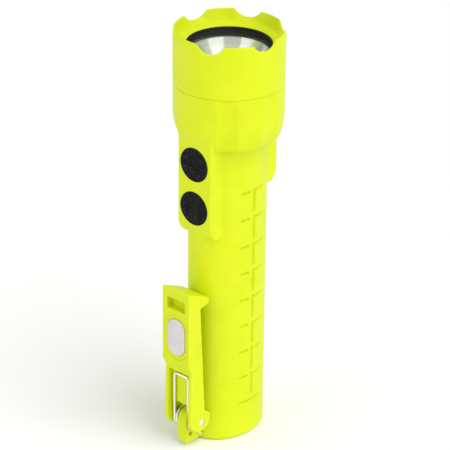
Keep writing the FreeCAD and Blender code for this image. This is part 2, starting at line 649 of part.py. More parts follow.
def make_floodlight():
    """The floodlight behind the back face: window, white reflector frame, LEDs and board."""
    face = BOARD_FACE + BOARD_THICKNESS
    inner_face = PAD_DEPTH - FLOOD_WALL
    low, high = FLOOD_WINDOW_Z
    keep("flood_window", flood_opening(FLOOD_WINDOW_HALF_WIDTH, 0, inner_face,
                                       PAD_DEPTH - FLOOD_WINDOW_INSET))
    keep("flood_board", box(both_ways(FLOOD_BOARD_HALF_WIDTH), (BOARD_FACE, face),
                            (FLOOD_POCKET_Z + BOARD_CLEARANCE, FLOOD_BOARD_TOP_Z)))
    half_wall = FLOOD_TRAY_WALL / 2
    tray = box(both_ways(FLOOD_TRAY_HALF_WIDTH), (face, inner_face - SEAT_GAP),
               (low - half_wall, high + half_wall))
    hollow = box(both_ways(FLOOD_TRAY_HALF_WIDTH - FLOOD_TRAY_WALL),
                 (face - CUT_MARGIN, inner_face + CUT_MARGIN), (low + half_wall, high - half_wall))
    keep("flood_reflector", tray.cut(hollow))
    heights = (low + FLOOD_LED_INSET, (low + high) / 2, high - FLOOD_LED_INSET)
    leds = [box(both_ways(FLOOD_LED_HALF), (face, face + FLOOD_LED_HEIGHT),
                (z - FLOOD_LED_HALF, z + FLOOD_LED_HALF)) for z in heights]
    keep("flood_leds", Part.makeCompound(leds))


# ---------------------------------------------------------------- batteries


def cell_centres():
    """The two columns of cells, side by side along Y."""
    return [Vector(0, side * CELL_SPACING / 2, 0) for side in (-1, 1)]


def make_cells():
    """Four AA cells: two columns of two, standing end to end."""
    for index in range(4):
        centre = cell_centres()[index % 2]
        base = CELL_BASE_Z + (index // 2) * CELL_STEP
        can = cylinder(CELL_RADIUS, base, base + CELL_CAN, centre=centre)
        nub = cylinder(CELL_NUB_RADIUS, base + CELL_CAN, base + CELL_CAN + CELL_NUB, centre=centre)
        keep("aa_cell_%d" % (index + 1), can.fuse(nub))


def make_carrier():
    """The battery carrier: two end plates joined by two rails in the valleys between the cells."""
    half_x = BAY_HALF_WIDTH - CARRIER_CLEARANCE
    half_y = BAY_HALF_DEPTH - CARRIER_CLEARANCE
    base = oval_prism(half_x, half_y, *CARRIER_BASE_Z)
    top = oval_prism(half_x, half_y, *CARRIER_TOP_Z)
    for centre in cell_centres():
        top = top.cut(cylinder(CONTACT_RADIUS, *CARRIER_TOP_Z, centre=centre))
    near, far = RAIL_X
    height = (CARRIER_BASE_Z[1], CARRIER_TOP_Z[0])
    rails = [box(x_range, both_ways(RAIL_HALF_DEPTH), height) for x_range in ((near, far), (-far, -near))]
    keep("battery_carrier", base.multiFuse([top] + rails).removeSplitter())
    contacts = [cylinder(CONTACT_RADIUS, *CARRIER_TOP_Z, centre=centre) for centre in cell_centres()]
    keep("carrier_contacts", Part.makeCompound(contacts))


def leaf_spring(centre, low, high):
    """A strip folded into a flat foot, a slope and a raised contact pad."""
    reach, half_pad = LEAF_REACH, LEAF_PAD / 2
    thick = LEAF_THICKNESS
    profile = [(-reach, low), (-half_pad, low), (half_pad, high - thick), (reach, high - thick),
               (reach, high), (half_pad - thick, high), (-half_pad - thick, low + thick),
               (-reach, low + thick), (-reach, low)]
    strip = Part.Face(Part.Wire(polyline(profile))).extrude(Y_AXIS * LEAF_WIDTH)
    strip.translate(centre - Y_AXIS * (LEAF_WIDTH / 2))
    return strip


def make_battery_contacts():
    """Leaf springs under the cells, and sprung pins between the carrier and the module frame."""
    leaves = [leaf_spring(centre, CARRIER_BASE_Z[1], CELL_BASE_Z) for centre in cell_centres()]
    keep("carrier_leaf_springs", Part.makeCompound(leaves))
    shoulder = (CARRIER_TOP_Z[1] + FRAME_FOOT_Z) / 2
    pins = []
    for centre in cell_centres():
        tip = cylinder(PROBE_TIP_RADIUS, CARRIER_TOP_Z[1], shoulder, centre=centre)
        barrel = cylinder(PROBE_RADIUS, shoulder, FRAME_FOOT_Z, centre=centre)
        pins.append(tip.fuse(barrel))
    keep("module_contact_pins", Part.makeCompound(pins))


# ---------------------------------------------------------------- clip


def clip_outline():
    """The side profile of the clip lever as (depth, z), from its hinge lobe to its claw."""
    lobe_foot = (HINGE_DEPTH, LOBE_FOOT_Z)
    lobe_back = (LOBE_BACK, HINGE_Z)
    face_low, face_high = CLIP_FACE_Z
    crown_start, crown_middle = CLIP_CROWN
    crown = (crown_start, CLIP_TOP_Z)
    edges = [front_arc(CLIP_HEEL, CLIP_HEEL_ROUND, lobe_foot)]
    edges.append(front_arc(lobe_foot, LOBE_ROUND, lobe_back))
    edges += front_line(lobe_back, *EAR_BACK, *SIDE_TOP, CLAW_TIP, CLAW_TOP, CLAW_BACK, crown)
    edges.append(front_arc(crown, (crown_middle, CLIP_TOP_Z - CLIP_CROWN_DROP), (CLIP_FACE, face_high)))
    edges += front_line((CLIP_FACE, face_high), (CLIP_FACE, face_low), (CLIP_LOW_FACE, CLIP_LOW_Z),
                        CLIP_HEEL)
    return edges


def channel_outline():
    """The side profile of the hollow between the lever's two sides."""
    foot, step_low, step_high = CHANNEL_Z
    (head_low, head_high), top = CHANNEL_HEAD
    lower_back = SPRING_FLOOR - CLIP_SLOT_FLOOR
    upper_back = CLIP_FACE - CLIP_PLATE
    head_back = CLIP_FACE - WINDOW_DEPTH - WINDOW_FLOOR
    mouth_z = CHANNEL_CLAW[1][1]
    return front_line((CHANNEL_BACK, foot), (lower_back, foot), (lower_back, step_low),
                      (upper_back, step_high), (upper_back, head_low), (head_back, head_high),
                      (head_back, top), *CHANNEL_CLAW, (CHANNEL_BACK, mouth_z), (CHANNEL_BACK, foot))


def make_clip():
    """The clip lever: a channel open towards the handle, with a claw at its free end."""
    inner = CLIP_HALF_WIDTH - CLIP_WALL
    front_to_back = (-CLIP_FACE - CUT_MARGIN, -CHANNEL_BACK)
    lever = slab(clip_outline(), CLIP_HALF_WIDTH).cut(slab(channel_outline(), inner))
    slot_low, slot_high = SPRING_SLOT_Z
    ears = box(both_ways(inner), front_to_back, (0, EAR_SLOT_TOP_Z))
    spring_slot = box(both_ways(SPRING_SLOT_HALF_WIDTH), (front_to_back[0], -SPRING_FLOOR),
                      (slot_low, slot_high))
    window = box(both_ways(WINDOW_HALF_WIDTH), (front_to_back[0], WINDOW_DEPTH - CLIP_FACE), WINDOW_Z)
    recess = stadium(MAGNET_HALF_WIDTH + MAGNET_RECESS_MARGIN, MAGNET_HALF_HEIGHT + MAGNET_RECESS_MARGIN,
                     MAGNET_Z, CLIP_FACE - MAGNET_RECESS, CLIP_FACE + CUT_MARGIN)
    magnet_seat = stadium(MAGNET_HALF_WIDTH, MAGNET_HALF_HEIGHT, MAGNET_Z, MAGNET_BACK,
                          CLIP_FACE + CUT_MARGIN)
    reach = CLIP_HALF_WIDTH + CUT_MARGIN
    pin_hole = cylinder(PIN_RADIUS + PIN_CLEARANCE, -reach, reach, X_AXIS,
                        front_point(HINGE_DEPTH, HINGE_Z))
    lever = lever.cut([ears, spring_slot, window, recess, magnet_seat, pin_hole])
    keep("clip_lever", lever.removeSplitter())
    keep("clip_magnet", stadium(MAGNET_HALF_WIDTH, MAGNET_HALF_HEIGHT, MAGNET_Z,
                                MAGNET_BACK, CLIP_FACE))


def make_clip_pin():
    """The steel pin through the knuckle and both ears."""
    keep("clip_hinge_pin", cylinder(PIN_RADIUS, -CLIP_HALF_WIDTH, CLIP_HALF_WIDTH, X_AXIS,
                                    front_point(HINGE_DEPTH, HINGE_Z)))


def spring_winding():
    """One coil on the pin: it starts below the pin and ends a turn and a quarter later in front."""
    winding = coil(COIL_RADIUS, COIL_PITCH, COIL_TURNS, WIRE_RADIUS)
    onto_pin = FreeCAD.Matrix(0, 0, -1, -COIL_START_X,
                              0, -1, 0, -HINGE_DEPTH,
                              -1, 0, 0, HINGE_Z,
                              0, 0, 0, 1)
    winding.transformShape(onto_pin)
    return winding


def make_clip_spring():
    """A double torsion spring: two coils on the pin, a U-shaped leg in the lever, two legs on the body."""
    winding = spring_winding()
    pieces = [winding, winding.mirror(Vector(0, 0, 0), X_AXIS)]
    for side in (-1, 1):
        body_end = front_point(SPRING_FOOT_DEPTH, SPRING_FOOT_Z, side * COIL_START_X)
        coil_end = front_point(HINGE_DEPTH, HINGE_Z - COIL_RADIUS, side * COIL_START_X)
        pieces.append(bent_wire([body_end, coil_end], WIRE_RADIUS))
    corners = [(HINGE_DEPTH + COIL_RADIUS, HINGE_Z, COIL_END_X),
               (WIRE_DEPTH, SPRING_BEND_Z, SPRING_LEG_X),
               (WIRE_DEPTH, SPRING_TOP_Z, SPRING_LEG_X)]
    right_leg = [front_point(depth, z, x) for depth, z, x in corners]
    left_leg = [front_point(depth, z, -x) for depth, z, x in reversed(corners)]
    pieces.append(bent_wire(right_leg + left_leg, WIRE_RADIUS))
    keep("clip_spring", pieces[0].multiFuse(pieces[1:]))


# ---------------------------------------------------------------- build and write

make_body_housing()
make_clip_knuckle()
make_bezel()
make_lens_stack()
make_bezel_o_ring()
make_reflector()
make_lamp()
make_module_frame()
make_switches()
make_buttons()
make_floodlight()
make_cells()
make_carrier()
make_battery_contacts()
make_clip()
make_clip_pin()
make_clip_spring()

os.makedirs("parts", exist_ok=True)
for node, shape in PARTS.items():
    shape.exportStep("parts/%s.step" % node)
    print("%-26s solids %d  valid %s  volume %9.1f" % (
        node, len(shape.Solids), shape.isValid(), shape.Volume))
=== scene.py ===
# Looks of the firefighter flashlight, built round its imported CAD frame.
# Lengths are in millimetres and are turned into metres where a mesh is made.
# An angle round the light's axis is counted from -Y (the front) towards +X.

import json
import math

import bmesh
import bpy
import numpy as np
from mathutils import Matrix, Vector


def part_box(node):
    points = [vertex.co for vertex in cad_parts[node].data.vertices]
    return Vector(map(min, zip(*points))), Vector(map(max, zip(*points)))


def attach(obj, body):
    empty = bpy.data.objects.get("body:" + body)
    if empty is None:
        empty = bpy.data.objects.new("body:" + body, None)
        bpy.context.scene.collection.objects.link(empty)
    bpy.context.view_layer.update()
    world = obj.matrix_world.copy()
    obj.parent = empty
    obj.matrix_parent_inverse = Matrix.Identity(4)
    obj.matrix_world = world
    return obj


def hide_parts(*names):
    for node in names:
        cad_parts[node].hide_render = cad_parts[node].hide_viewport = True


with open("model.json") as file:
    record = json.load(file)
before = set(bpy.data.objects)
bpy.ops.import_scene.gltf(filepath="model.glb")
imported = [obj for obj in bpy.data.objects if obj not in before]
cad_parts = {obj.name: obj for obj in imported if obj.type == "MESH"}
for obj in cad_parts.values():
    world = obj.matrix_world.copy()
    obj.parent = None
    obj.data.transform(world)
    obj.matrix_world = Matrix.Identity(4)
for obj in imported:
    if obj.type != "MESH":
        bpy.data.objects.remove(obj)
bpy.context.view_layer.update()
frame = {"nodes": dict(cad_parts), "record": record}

MM = 0.001


def span(node, axis):
    """The lowest and highest reach of a CAD node along an axis, in millimetres."""
    low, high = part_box(node)
    return low[axis] / MM, high[axis] / MM


def middle(node, axis):
    """The middle of a CAD node along an axis, in millimetres."""
    return sum(span(node, axis)) / 2


def half_size(node, axis):
    """Half of a CAD node's size along an axis, in millimetres."""
    low, high = span(node, axis)
    return (high - low) / 2


X, Y, Z = range(3)

# ---------------------------------------------------------------- dimensions

HANDLE_HALF_DEPTH = 20.15
HANDLE_HALF_WIDTH = 15.8
TAIL_ROUND = 1.8
TAIL_SHARES = (0.02, 0.3, 0.6, 0.85)   # rings across the flat tail, as shares of its radius
TAIL_ROUND_STEPS = 9
ROW_STEP = 0.9
GROOVE_ROW_STEP = 0.14
FOOT_ROW_STEP = 0.3
PAD_DEPTH = 22.8
PAD_HALF_WIDTH = 10.0
PAD_FOOTS = {0: (105.3, 111.5), 180: (122.0, 127.7)}   # z where each pad starts and reaches full depth
PAD_EDGE_POWER = 26       # a higher power gives sharper upright edges
BLEND_POWER = 60          # the same for the corners where pad, head and handle meet
CORE_FADE_Z = (157.0, 163.0)
CORE_FADE = 0.25          # how far handle and pads draw in, inside the head
BLEND_TOP_Z = 174.0

HEAD_PROFILE = [          # radius and z up the head's underside and side
    (12.5, 146.95), (14.5, 147.08), (16.5, 147.25), (18.2, 147.45), (19.6, 147.7), (20.8, 148.1),
    (21.7, 148.6), (22.4, 149.2), (22.95, 149.95), (23.4, 150.9), (23.8, 152.1), (24.15, 153.5),
    (24.45, 155.0), (24.7, 156.7), (24.88, 158.5), (24.97, 160.3), (24.99, 162.5), (24.99, 168.0),
    (24.99, 174.4), (24.94, 174.6), (24.8, 174.69), (24.2, 174.7), (23.2, 174.7), (22.6, 174.75),
    (22.3, 175.0), (22.3, 176.5),
]
FLUTE_ANGLES = (40, 90, 140, 220, 270, 320)
FLUTE_RADIUS = 20.0
FLUTE_DEPTH = 1.0
FLUTE_BLEND = 0.3
COLLAR_RADIUS = 22.3
COLLAR_TOP_Z = 182.5
COLLAR_CHAMFER = (0.3, 0.35)
O_RING_GROOVE = (20.95, 176.85, 178.35)
THREAD_Z = (178.9, 182.0)
THREAD_PITCH = 1.5
THREAD_DEPTH = 0.45
THREAD_RUN_OUT = 0.5
THREAD_ROW_STEP = 0.14

GROOVE_DEPTH = 1.0
GROOVE_WALL = 0.7         # how wide each sloping wall of a groove is
UPRIGHT_HALF_WIDTH = 1.3
LEVEL_HALF_WIDTH = 0.95
GROOVE_TOP_Z = 125.5
GROOVE_PITCH = 13.45
GROOVE_COUNT = 8
GROOVE_LENGTH = 9.8
GROOVE_BACK_Y = 7.7
GROOVE_FRONT_Y = (-6.7, -3.2)
GROOVE_SIDE = (0.7, 0.8)  # the sine of the angle round the body where the grooves fade in

BAY_HALF_DEPTH = 17.95
BAY_HALF_WIDTH = 13.6
BAY_Z = (2.6, 153.0)
HEAD_BORE_RADIUS = 20.2
HEAD_BORE_Z = (152.5, 184.0)
BUTTON_POCKET = ((-9.2, 9.2), (-20.0, 0.0), (110.5, 153.0))
FLOOD_POCKET = ((-8.6, 8.6), (0.0, 20.9), (129.0, 153.0))
KNUCKLE_POCKET = ((-2.6, 2.6), (-22.0, -18.95), (1.7, 18.3))

BUTTON_RADIUS = 8.0
BUTTON_Z = {name: middle(name + "_button", Z) for name in ("flashlight", "floodlight")}
CAP_RADIUS = 7.42
CAP_BACK = 20.5
CAP_EDGE = 22.6
CAP_CROWN = 0.75
CAP_CHAMFER = 0.3
CAP_SIDE_DROP = 0.35
CAP_EDGE_INSETS = (0.08, 0.25)
CAP_FACE_INSET = 0.4
CAP_RING_STEP = 0.11
RIM_PROFILE = [           # radius, and depth from the light's axis
    (7.5, 20.0), (8.0, 20.0), (8.0, 22.75), (8.08, 22.82), (8.08, 22.88), (7.98, 22.94),
    (7.8, 22.95), (7.6, 22.9), (7.5, 22.78),
]
STUD_PITCH = 0.95
STUD_HEIGHT = 0.55
RIB_PITCH = 0.95
RIB_HALF_WIDTH = 2.4

FLOOD_OPENING = (6.6, 8.1, 2.1)       # half width, half height, corner radius
FLOOD_PANE = (6.5, 8.0, 2.0)
FLOOD_TRAY = (8.0, 9.0, 2.5)
FLOOD_LED = (1.5, 1.5, 0.3)
FLOOD_LED_OFFSETS = (-4.0, 0.0, 4.0)
FLOOD_Z = middle("flood_window", Z)

BEZEL_TOP_Z = span("bezel", Z)[1]
NOTCH_COUNT = 6
NOTCH_CLOCK = 21
NOTCH_RADIUS = 7.2
NOTCH_DEPTH = 3.7
NOTCH_BLEND = 1.0
BEZEL_OUTSIDE = [         # radius and z, from the foot up to the top's crest
    (22.9, 174.78), (24.7, 174.78), (24.88, 174.82), (24.96, 174.92), (24.99, 175.1), (24.99, 179.0),
    (24.99, 183.0), (24.99, 186.0), (24.99, 190.0), (24.99, 194.0), (24.99, 196.5), (24.97, 197.6),
    (24.91, 198.4), (24.8, 198.9), (24.62, 199.2), (24.4, 199.3),
]
BEZEL_INSIDE = [          # radius and z, from the crest down the mouth, over the lip and down the bore
    (24.25, 199.27), (24.1, 199.12), (24.02, 198.9), (23.7, 197.7), (23.2, 195.9), (22.85, 194.7),
    (22.72, 194.4), (22.5, 194.15), (22.1, 193.95), (20.4, 193.3), (19.6, 192.98), (19.25, 192.8),
    (19.12, 192.6), (19.15, 192.4), (19.4, 192.3), (22.6, 192.3), (22.6, 184.0), (22.6, 175.3),
    (22.7, 174.85),
]
BEZEL_WALL_Z = (186.0, 196.5)          # the stretch of the outside that gets shorter under a notch
BEZEL_MOUTH_Z = (194.5, 198.8)         # and the same for the mouth's wall

LENS_RADIUS = 22.3
LENS_Z = span("lens", Z)
LENS_CHAMFER = 0.3
GASKET_PROFILE = [
    (22.3, 189.7), (22.3, 192.3), (19.3, 192.3), (18.95, 192.15), (18.8, 191.85), (18.72, 191.75),
    (18.8, 191.6), (18.74, 191.25), (18.6, 190.75), (18.4, 190.35), (18.25, 190.2), (18.18, 190.1),
    (18.22, 189.95), (18.1, 189.8), (17.95, 189.7),
]
REFLECTOR_MOUTH_RADIUS = 18.0
REFLECTOR_Z = (170.0, 188.0)
REFLECTOR_WALL = 0.9
REFLECTOR_RIM = [         # radius and z, over the flat rim, down the skirt and back up inside it
    (18.1, 188.0), (21.8, 188.0), (22.0, 187.8), (22.0, 182.6), (21.1, 182.6), (21.1, 187.0),
    (20.9, 187.2),
]
LED_FOCUS_Z = 171.1

PIN_RADIUS = half_size("clip_hinge_pin", Z)
PIN_HALF_LENGTH = half_size("clip_hinge_pin", X)
HINGE = (-middle("clip_hinge_pin", Y), middle("clip_hinge_pin", Z))   # depth and z of the clip's hinge axis
WIRE_RADIUS = 0.68
COIL_RADIUS = 4.6
COIL_TURNS = 1.25
COIL_STEPS = 90
COIL_X = (3.42, 5.295)
BEARING_END = (20.9, 4.0)
LEG_DEPTH = 30.72
LEG_Z = (21.0, 37.6)
LEG_X = 4.25
LEG_BEND = 1.6
MAGNET_SIZE = (half_size("clip_magnet", X), half_size("clip_magnet", Z))
MAGNET_Z = middle("clip_magnet", Z)

FLOOR_HALF_SIZE = 3.0     # metres
WORLD_STRENGTH = 0.64
TARGET = (0, 0, 0.11)     # where the lights point, in metres
LIGHT_SIZE = 1.0
LIGHTS = {                # metres to the camera's right, towards it and up, then watts
    "left_light": (-1.0, 0.6, 0.6, 3.5),
    "right_light": (0.8, 0.9, 0.4, 3.6),
}
SKY_LIGHT = (0.6, 0.4, 1.0, 1.4)   # right, towards the camera and up, then strength
SKY_LIGHT_SPREAD = 50.0   # degrees
CAMERA_AZIMUTH = 41.0
CAMERA_DISTANCE = 958.3
CAMERA_HEIGHT = 570.4
CAMERA_PITCH = 25.99
CAMERA_YAW = -0.06
CAMERA_ROLL = 0.65
CAMERA_LENS = 187.4

# ---------------------------------------------------------------- curves and blends


def smooth_curve(points, step):
    """A Catmull-Rom curve through 2-D points, sampled about every step."""
    points = np.array(points, float)
    padded = np.vstack([2 * points[0] - points[1], points, 2 * points[-1] - points[-2]])
    samples = []
    for before, start, end, after in zip(padded, padded[1:], padded[2:], padded[3:]):
        count = max(1, int(np.ceil(np.linalg.norm(end - start) / step)))
        for t in np.arange(count) / count:
            samples.append(0.5 * (2 * start + (end - before) * t
                                  + (2 * before - 5 * start + 4 * end - after) * t ** 2
                                  + (3 * start - before - 3 * end + after) * t ** 3))
    samples.append(points[-1])
    return np.array(samples)


def straight_curve(points, step):
    """Straight runs through 2-D points, divided about every step."""
    samples = []
    for start, end in zip(np.array(points[:-1], float), np.array(points[1:], float)):
        count = max(1, int(np.ceil(np.linalg.norm(end - start) / step)))
        samples += [start + (end - start) * t for t in np.arange(count) / count]
    samples.append(np.array(points[-1], float))
    return np.array(samples)


def smooth_min(a, b, width):
    """The lower of two fields, blended over a width."""
    overlap = np.maximum(width - np.abs(a - b), 0) / width
    return np.minimum(a, b) - overlap ** 2 * width / 4


def smooth_step(value, low, high):
    """0 below low, 1 above high and smooth between."""
    t = np.clip((value - low) / (high - low), 0, 1)
    return t * t * (3 - 2 * t)


def divided(*stops):
    """One list of values from (start, end, step) runs that follow on from each other."""
    values = []
    for start, end, step in stops:
        count = max(1, int(round((end - start) / step)))
        values += [start + (end - start) * index / count for index in range(count)]
    return values + [stops[-1][1]]


# ---------------------------------------------------------------- mesh helpers


def new_piece(name, points, faces):
    """A mesh object from points in millimetres."""
    mesh = bpy.data.meshes.new(name)
    mesh.from_pydata((np.asarray(points, float) * MM).tolist(), [], faces)
    mesh.update()
    piece = bpy.data.objects.new(name, mesh)
    bpy.context.scene.collection.objects.link(piece)
    return piece


def ring_faces(rows, columns, closed_rows=False):
    """Quads between rings of points that are closed along their columns."""
    low = np.arange(rows if closed_rows else rows - 1)[:, None]
    high = (low + 1) % rows
    here = np.arange(columns)[None, :]
    there = (here + 1) % columns
    quads = np.stack([low * columns + here, low * columns + there,
                      high * columns + there, high * columns + here], axis=-1)
    return quads.reshape(-1, 4).tolist()


def ring_solid(name, rings, closed_rows=False):
    """A solid from rings of points, with flat ends unless its rows close on themselves."""
    rows, columns = rings.shape[:2]
    faces = ring_faces(rows, columns, closed_rows)
    if not closed_rows:
        faces.append(list(range(columns))[::-1])
        faces.append(list(range((rows - 1) * columns, rows * columns)))
    return new_piece(name, rings.reshape(-1, 3), faces)


def lathe(name, profile, columns=192, closed_rows=False):
    """A solid of revolution about Z from (radius, z) points."""
    turn = np.arange(columns) * 2 * math.pi / columns
    profile = np.asarray(profile, float)
    radius, height = profile[:, 0:1], profile[:, 1:2]
    rings = np.stack([radius * np.sin(turn), -radius * np.cos(turn), height + 0 * turn], axis=-1)
    return ring_solid(name, rings, closed_rows)


def rounded_outline(half_width, half_height, corner, per_corner=12):
    """Points round a rectangle with round corners, in its own plane."""
    points = []
    for index, (side_x, side_z) in enumerate(((1, 1), (-1, 1), (-1, -1), (1, -1))):
        for step in range(per_corner + 1):
            angle = math.radians(90 * (index + step / per_corner))
            points.append((side_x * (half_width - corner) + corner * math.cos(angle),
                           side_z * (half_height - corner) + corner * math.sin(angle)))
    return points


def rounded_block(name, size, centre_z, layers, closed_rows=False):
    """A block along Y: layers are (inset, y), and size is half width, half height and corner."""
    half_width, half_height, corner = size
    rings = []
    for inset, y in layers:
        outline = rounded_outline(half_width - inset, half_height - inset, max(corner - inset, 0.05))
        rings.append([(x, y, centre_z + z) for x, z in outline])
    return ring_solid(name, np.array(rings), closed_rows)


def block(name, ranges):
    """A plain box, used only for cutting."""
    (x0, x1), (y0, y1), (z0, z1) = ranges
    rings = [[(x0, y0, z), (x1, y0, z), (x1, y1, z), (x0, y1, z)] for z in (z0, z1)]
    return ring_solid(name, np.array(rings))


def bake_modifiers(piece):
    """Replaces a piece's mesh with what its modifiers make of it."""
    bpy.context.view_layer.update()
    evaluated = piece.evaluated_get(bpy.context.evaluated_depsgraph_get())
    mesh = bpy.data.meshes.new_from_object(evaluated)
    piece.modifiers.clear()
    piece.data = mesh


def fix_normals(piece):
    """Merges doubled points and turns every face outwards."""
    work = bmesh.new()
    work.from_mesh(piece.data)
    bmesh.ops.remove_doubles(work, verts=work.verts, dist=0.0005 * MM)
    bmesh.ops.recalc_face_normals(work, faces=work.faces)
    work.to_mesh(piece.data)
    work.free()


def boolean(piece, other, operation):
    """Joins another closed mesh to a piece or cuts it away, and deletes the other."""
    modifier = piece.modifiers.new(operation.lower(), "BOOLEAN")
    modifier.operation = operation
    modifier.solver = "MANIFOLD"
    modifier.object = other
    bake_modifiers(piece)
    bpy.data.objects.remove(other)


def shade(piece, degrees=38):
    """Smooth shading, with edges sharper than an angle left crisp."""
    piece.data.shade_smooth()
    piece.data.set_sharp_from_angle(angle=math.radians(degrees))


def softened_copy(node, name, voxel, passes, share):
    """A copy of a CAD node with its edges rounded off by remeshing and smoothing."""
    piece = bpy.data.objects.new(name, frame["nodes"][node].data.copy())
    bpy.context.scene.collection.objects.link(piece)
    piece.data.materials.clear()
    fix_normals(piece)
    remesh = piece.modifiers.new("remesh", "REMESH")
    remesh.mode = "VOXEL"
    remesh.voxel_size = voxel * MM
    smooth = piece.modifiers.new("smooth", "SMOOTH")
    smooth.factor = 0.5
    smooth.iterations = passes
    thin = piece.modifiers.new("thin", "DECIMATE")
    thin.ratio = share
    bake_modifiers(piece)
    piece.data.shade_smooth()
    return piece


def rounded_path(points, corner, steps=8):
    """The points of a path whose corners are rounded off."""
    points = [Vector(point) for point in points]
    path = [points[0]]
    for before, here, after in zip(points, points[1:], points[2:]):
        start = here + (before - here).normalized() * corner
        end = here + (after - here).normalized() * corner
        for step in range(steps + 1):
            t = step / steps
            path.append((1 - t) ** 2 * start + 2 * t * (1 - t) * here + t ** 2 * end)
    return path + [points[-1]]


def wire(name, paths, radius):
    """Round wire along each path, with closed ends, as one mesh."""
    curve = bpy.data.curves.new(name, "CURVE")
    curve.dimensions = "3D"
    curve.bevel_depth = radius * MM
    curve.bevel_resolution = 5
    curve.use_fill_caps = True
    for path in paths:
        spline = curve.splines.new("POLY")
        spline.points.add(len(path) - 1)
        for point, place in zip(spline.points, path):
            point.co = (*(Vector(place) * MM), 1)
    piece = bpy.data.objects.new(name, curve)
    bpy.context.scene.collection.objects.link(piece)
    bpy.context.view_layer.update()
    mesh = bpy.data.meshes.new_from_object(piece.evaluated_get(bpy.context.evaluated_depsgraph_get()))
    bpy.data.objects.remove(piece)
    mesh.name = name
    solid = bpy.data.objects.new(name, mesh)
    bpy.context.scene.collection.objects.link(solid)
    solid.data.shade_smooth()
    return solid


def along_front(piece):
    """Turns a piece made about Z so that its axis points to the front, with its up still up."""
    piece.data.transform(Matrix(((1, 0, 0, 0), (0, 0, -1, 0), (0, 1, 0, 0), (0, 0, 0, 1))))


# ---------------------------------------------------------------- materials

# Pointiness ranges for the painted shade in hollows and for the lighter outer edges.
HOLLOW_POINTINESS = (0.40, 0.49)
EDGE_POINTINESS = (0.53, 0.62)

material_of = {}


class Look:
    """A material's node tree, with short ways to add nodes to it."""

    def __init__(self, slot):
        self.material = bpy.data.materials.new("look_" + slot)
        self.material.use_nodes = True
        self.tree = self.material.node_tree
        self.shader = self.tree.nodes["Principled BSDF"]
        self.output = self.tree.nodes["Material Output"]
        self.place = self.add("ShaderNodeTexCoord").outputs["Object"]
        material_of[slot] = self.material

    def add(self, kind, **settings):
        node = self.tree.nodes.new(kind)
        for name, value in settings.items():
            setattr(node, name, value)
        return node

    def feed(self, node, socket, value):
        """Sets a socket to a constant, or links another node's output to it."""
        if isinstance(value, bpy.types.NodeSocket):
            self.tree.links.new(value, node.inputs[socket])
        else:
            node.inputs[socket].default_value = value

    def stretched(self, scale):
        """The place, scaled differently along each axis."""
        mapping = self.add("ShaderNodeMapping")
        self.feed(mapping, "Vector", self.place)
        self.feed(mapping, "Scale", scale)
        return mapping.outputs["Vector"]

    def noise(self, size, detail=3.0, roughness=0.55, place=None):
        """Noise whose lumps are about size millimetres."""
        node = self.add("ShaderNodeTexNoise")
        self.feed(node, "Vector", place or self.place)
        self.feed(node, "Scale", 1.0 / (size * MM))
        self.feed(node, "Detail", detail)
        self.feed(node, "Roughness", roughness)
        return node.outputs["Fac"]

    def spread(self, value, source, target):
        """Maps one range on to another, and holds its ends."""
        node = self.add("ShaderNodeMapRange")
        self.feed(node, "Value", value)
        for socket, number in zip(("From Min", "From Max", "To Min", "To Max"), (*source, *target)):
            self.feed(node, socket, number)
        return node.outputs["Result"]

    def times(self, first, second):
        """The product of two values."""
        product = self.add("ShaderNodeMath", operation="MULTIPLY")
        self.feed(product, 0, first)
        self.feed(product, 1, second)
        return product.outputs[0]

    def mix(self, share, first, second):
        """A blend of two colours."""
        node = self.add("ShaderNodeMix", data_type="RGBA")
        self.feed(node, "Factor", share)
        for socket, colour in ((6, first), (7, second)):
            if isinstance(colour, bpy.types.NodeSocket):
                self.tree.links.new(colour, node.inputs[socket])
            else:
                node.inputs[socket].default_value = (*colour, 1)
        return node.outputs[2]

    def bump(self, *layers):
        """Stacked bumps, each a height field, its depth in millimetres and its strength."""
        normal = None
        for height, depth, strength in layers:
            node = self.add("ShaderNodeBump")
            self.feed(node, "Height", height)
            self.feed(node, "Distance", depth * MM)
            self.feed(node, "Strength", strength)
            if normal:
                self.feed(node, "Normal", normal)
            normal = node.outputs["Normal"]
        self.feed(self.shader, "Normal", normal)

    def hollow_shade(self, low, high):
        """Where painted shade goes: 1 in grooves and inner corners and 0 on open surfaces."""
        pointiness = self.add("ShaderNodeNewGeometry").outputs["Pointiness"]
        return self.spread(pointiness, (low, high), (1.0, 0.0))

    def edges(self, low, high):
        """1 on outer edges and 0 elsewhere, broken up by noise: where wear goes, and on the button caps a
        painted highlight on the stud tips.
        """
        pointiness = self.add("ShaderNodeNewGeometry").outputs["Pointiness"]
        edge_wear_and_highlight = self.spread(pointiness, (low, high), (0.0, 1.0))
        patchy = self.spread(self.noise(1.4, 4.0), (0.42, 0.62), (0.0, 1.0))
        return self.times(edge_wear_and_highlight, patchy)


def moulded(slot, dark, light, edge_wear_and_highlight, roughness, grain, grain_depth, wear_and_highlight_share=0.5, metallic=0.0, hollow_shade=None):
    """A moulded surface: mottled colour, fine grain, uneven gloss, lighter outer edges for wear (a painted
    highlight on the button caps' stud tips) and, where asked for, painted shade darkening grooves and
    hollows.
    """
    look = Look(slot)
    base = look.mix(look.spread(look.noise(11.0, 4.0), (0.35, 0.65), (0.0, 1.0)), dark, light)
    # Painted shade: grooves and inner corners get a darker colour.
    if hollow_shade:
        base = look.mix(look.hollow_shade(*HOLLOW_POINTINESS), base, hollow_shade)
    # Lighter outer edges: wear, and on the button caps a painted highlight on the stud tips.
    share = look.times(look.edges(*EDGE_POINTINESS), wear_and_highlight_share)
    look.feed(look.shader, "Base Color", look.mix(share, base, edge_wear_and_highlight))
    look.feed(look.shader, "Roughness", look.spread(look.noise(3.0, 5.0), (0.3, 0.7), roughness))
    look.feed(look.shader, "Metallic", metallic)
    look.bump((look.noise(grain, 2.0), grain_depth, 0.6), (look.noise(6.0, 3.0), grain_depth, 0.5))
    return look


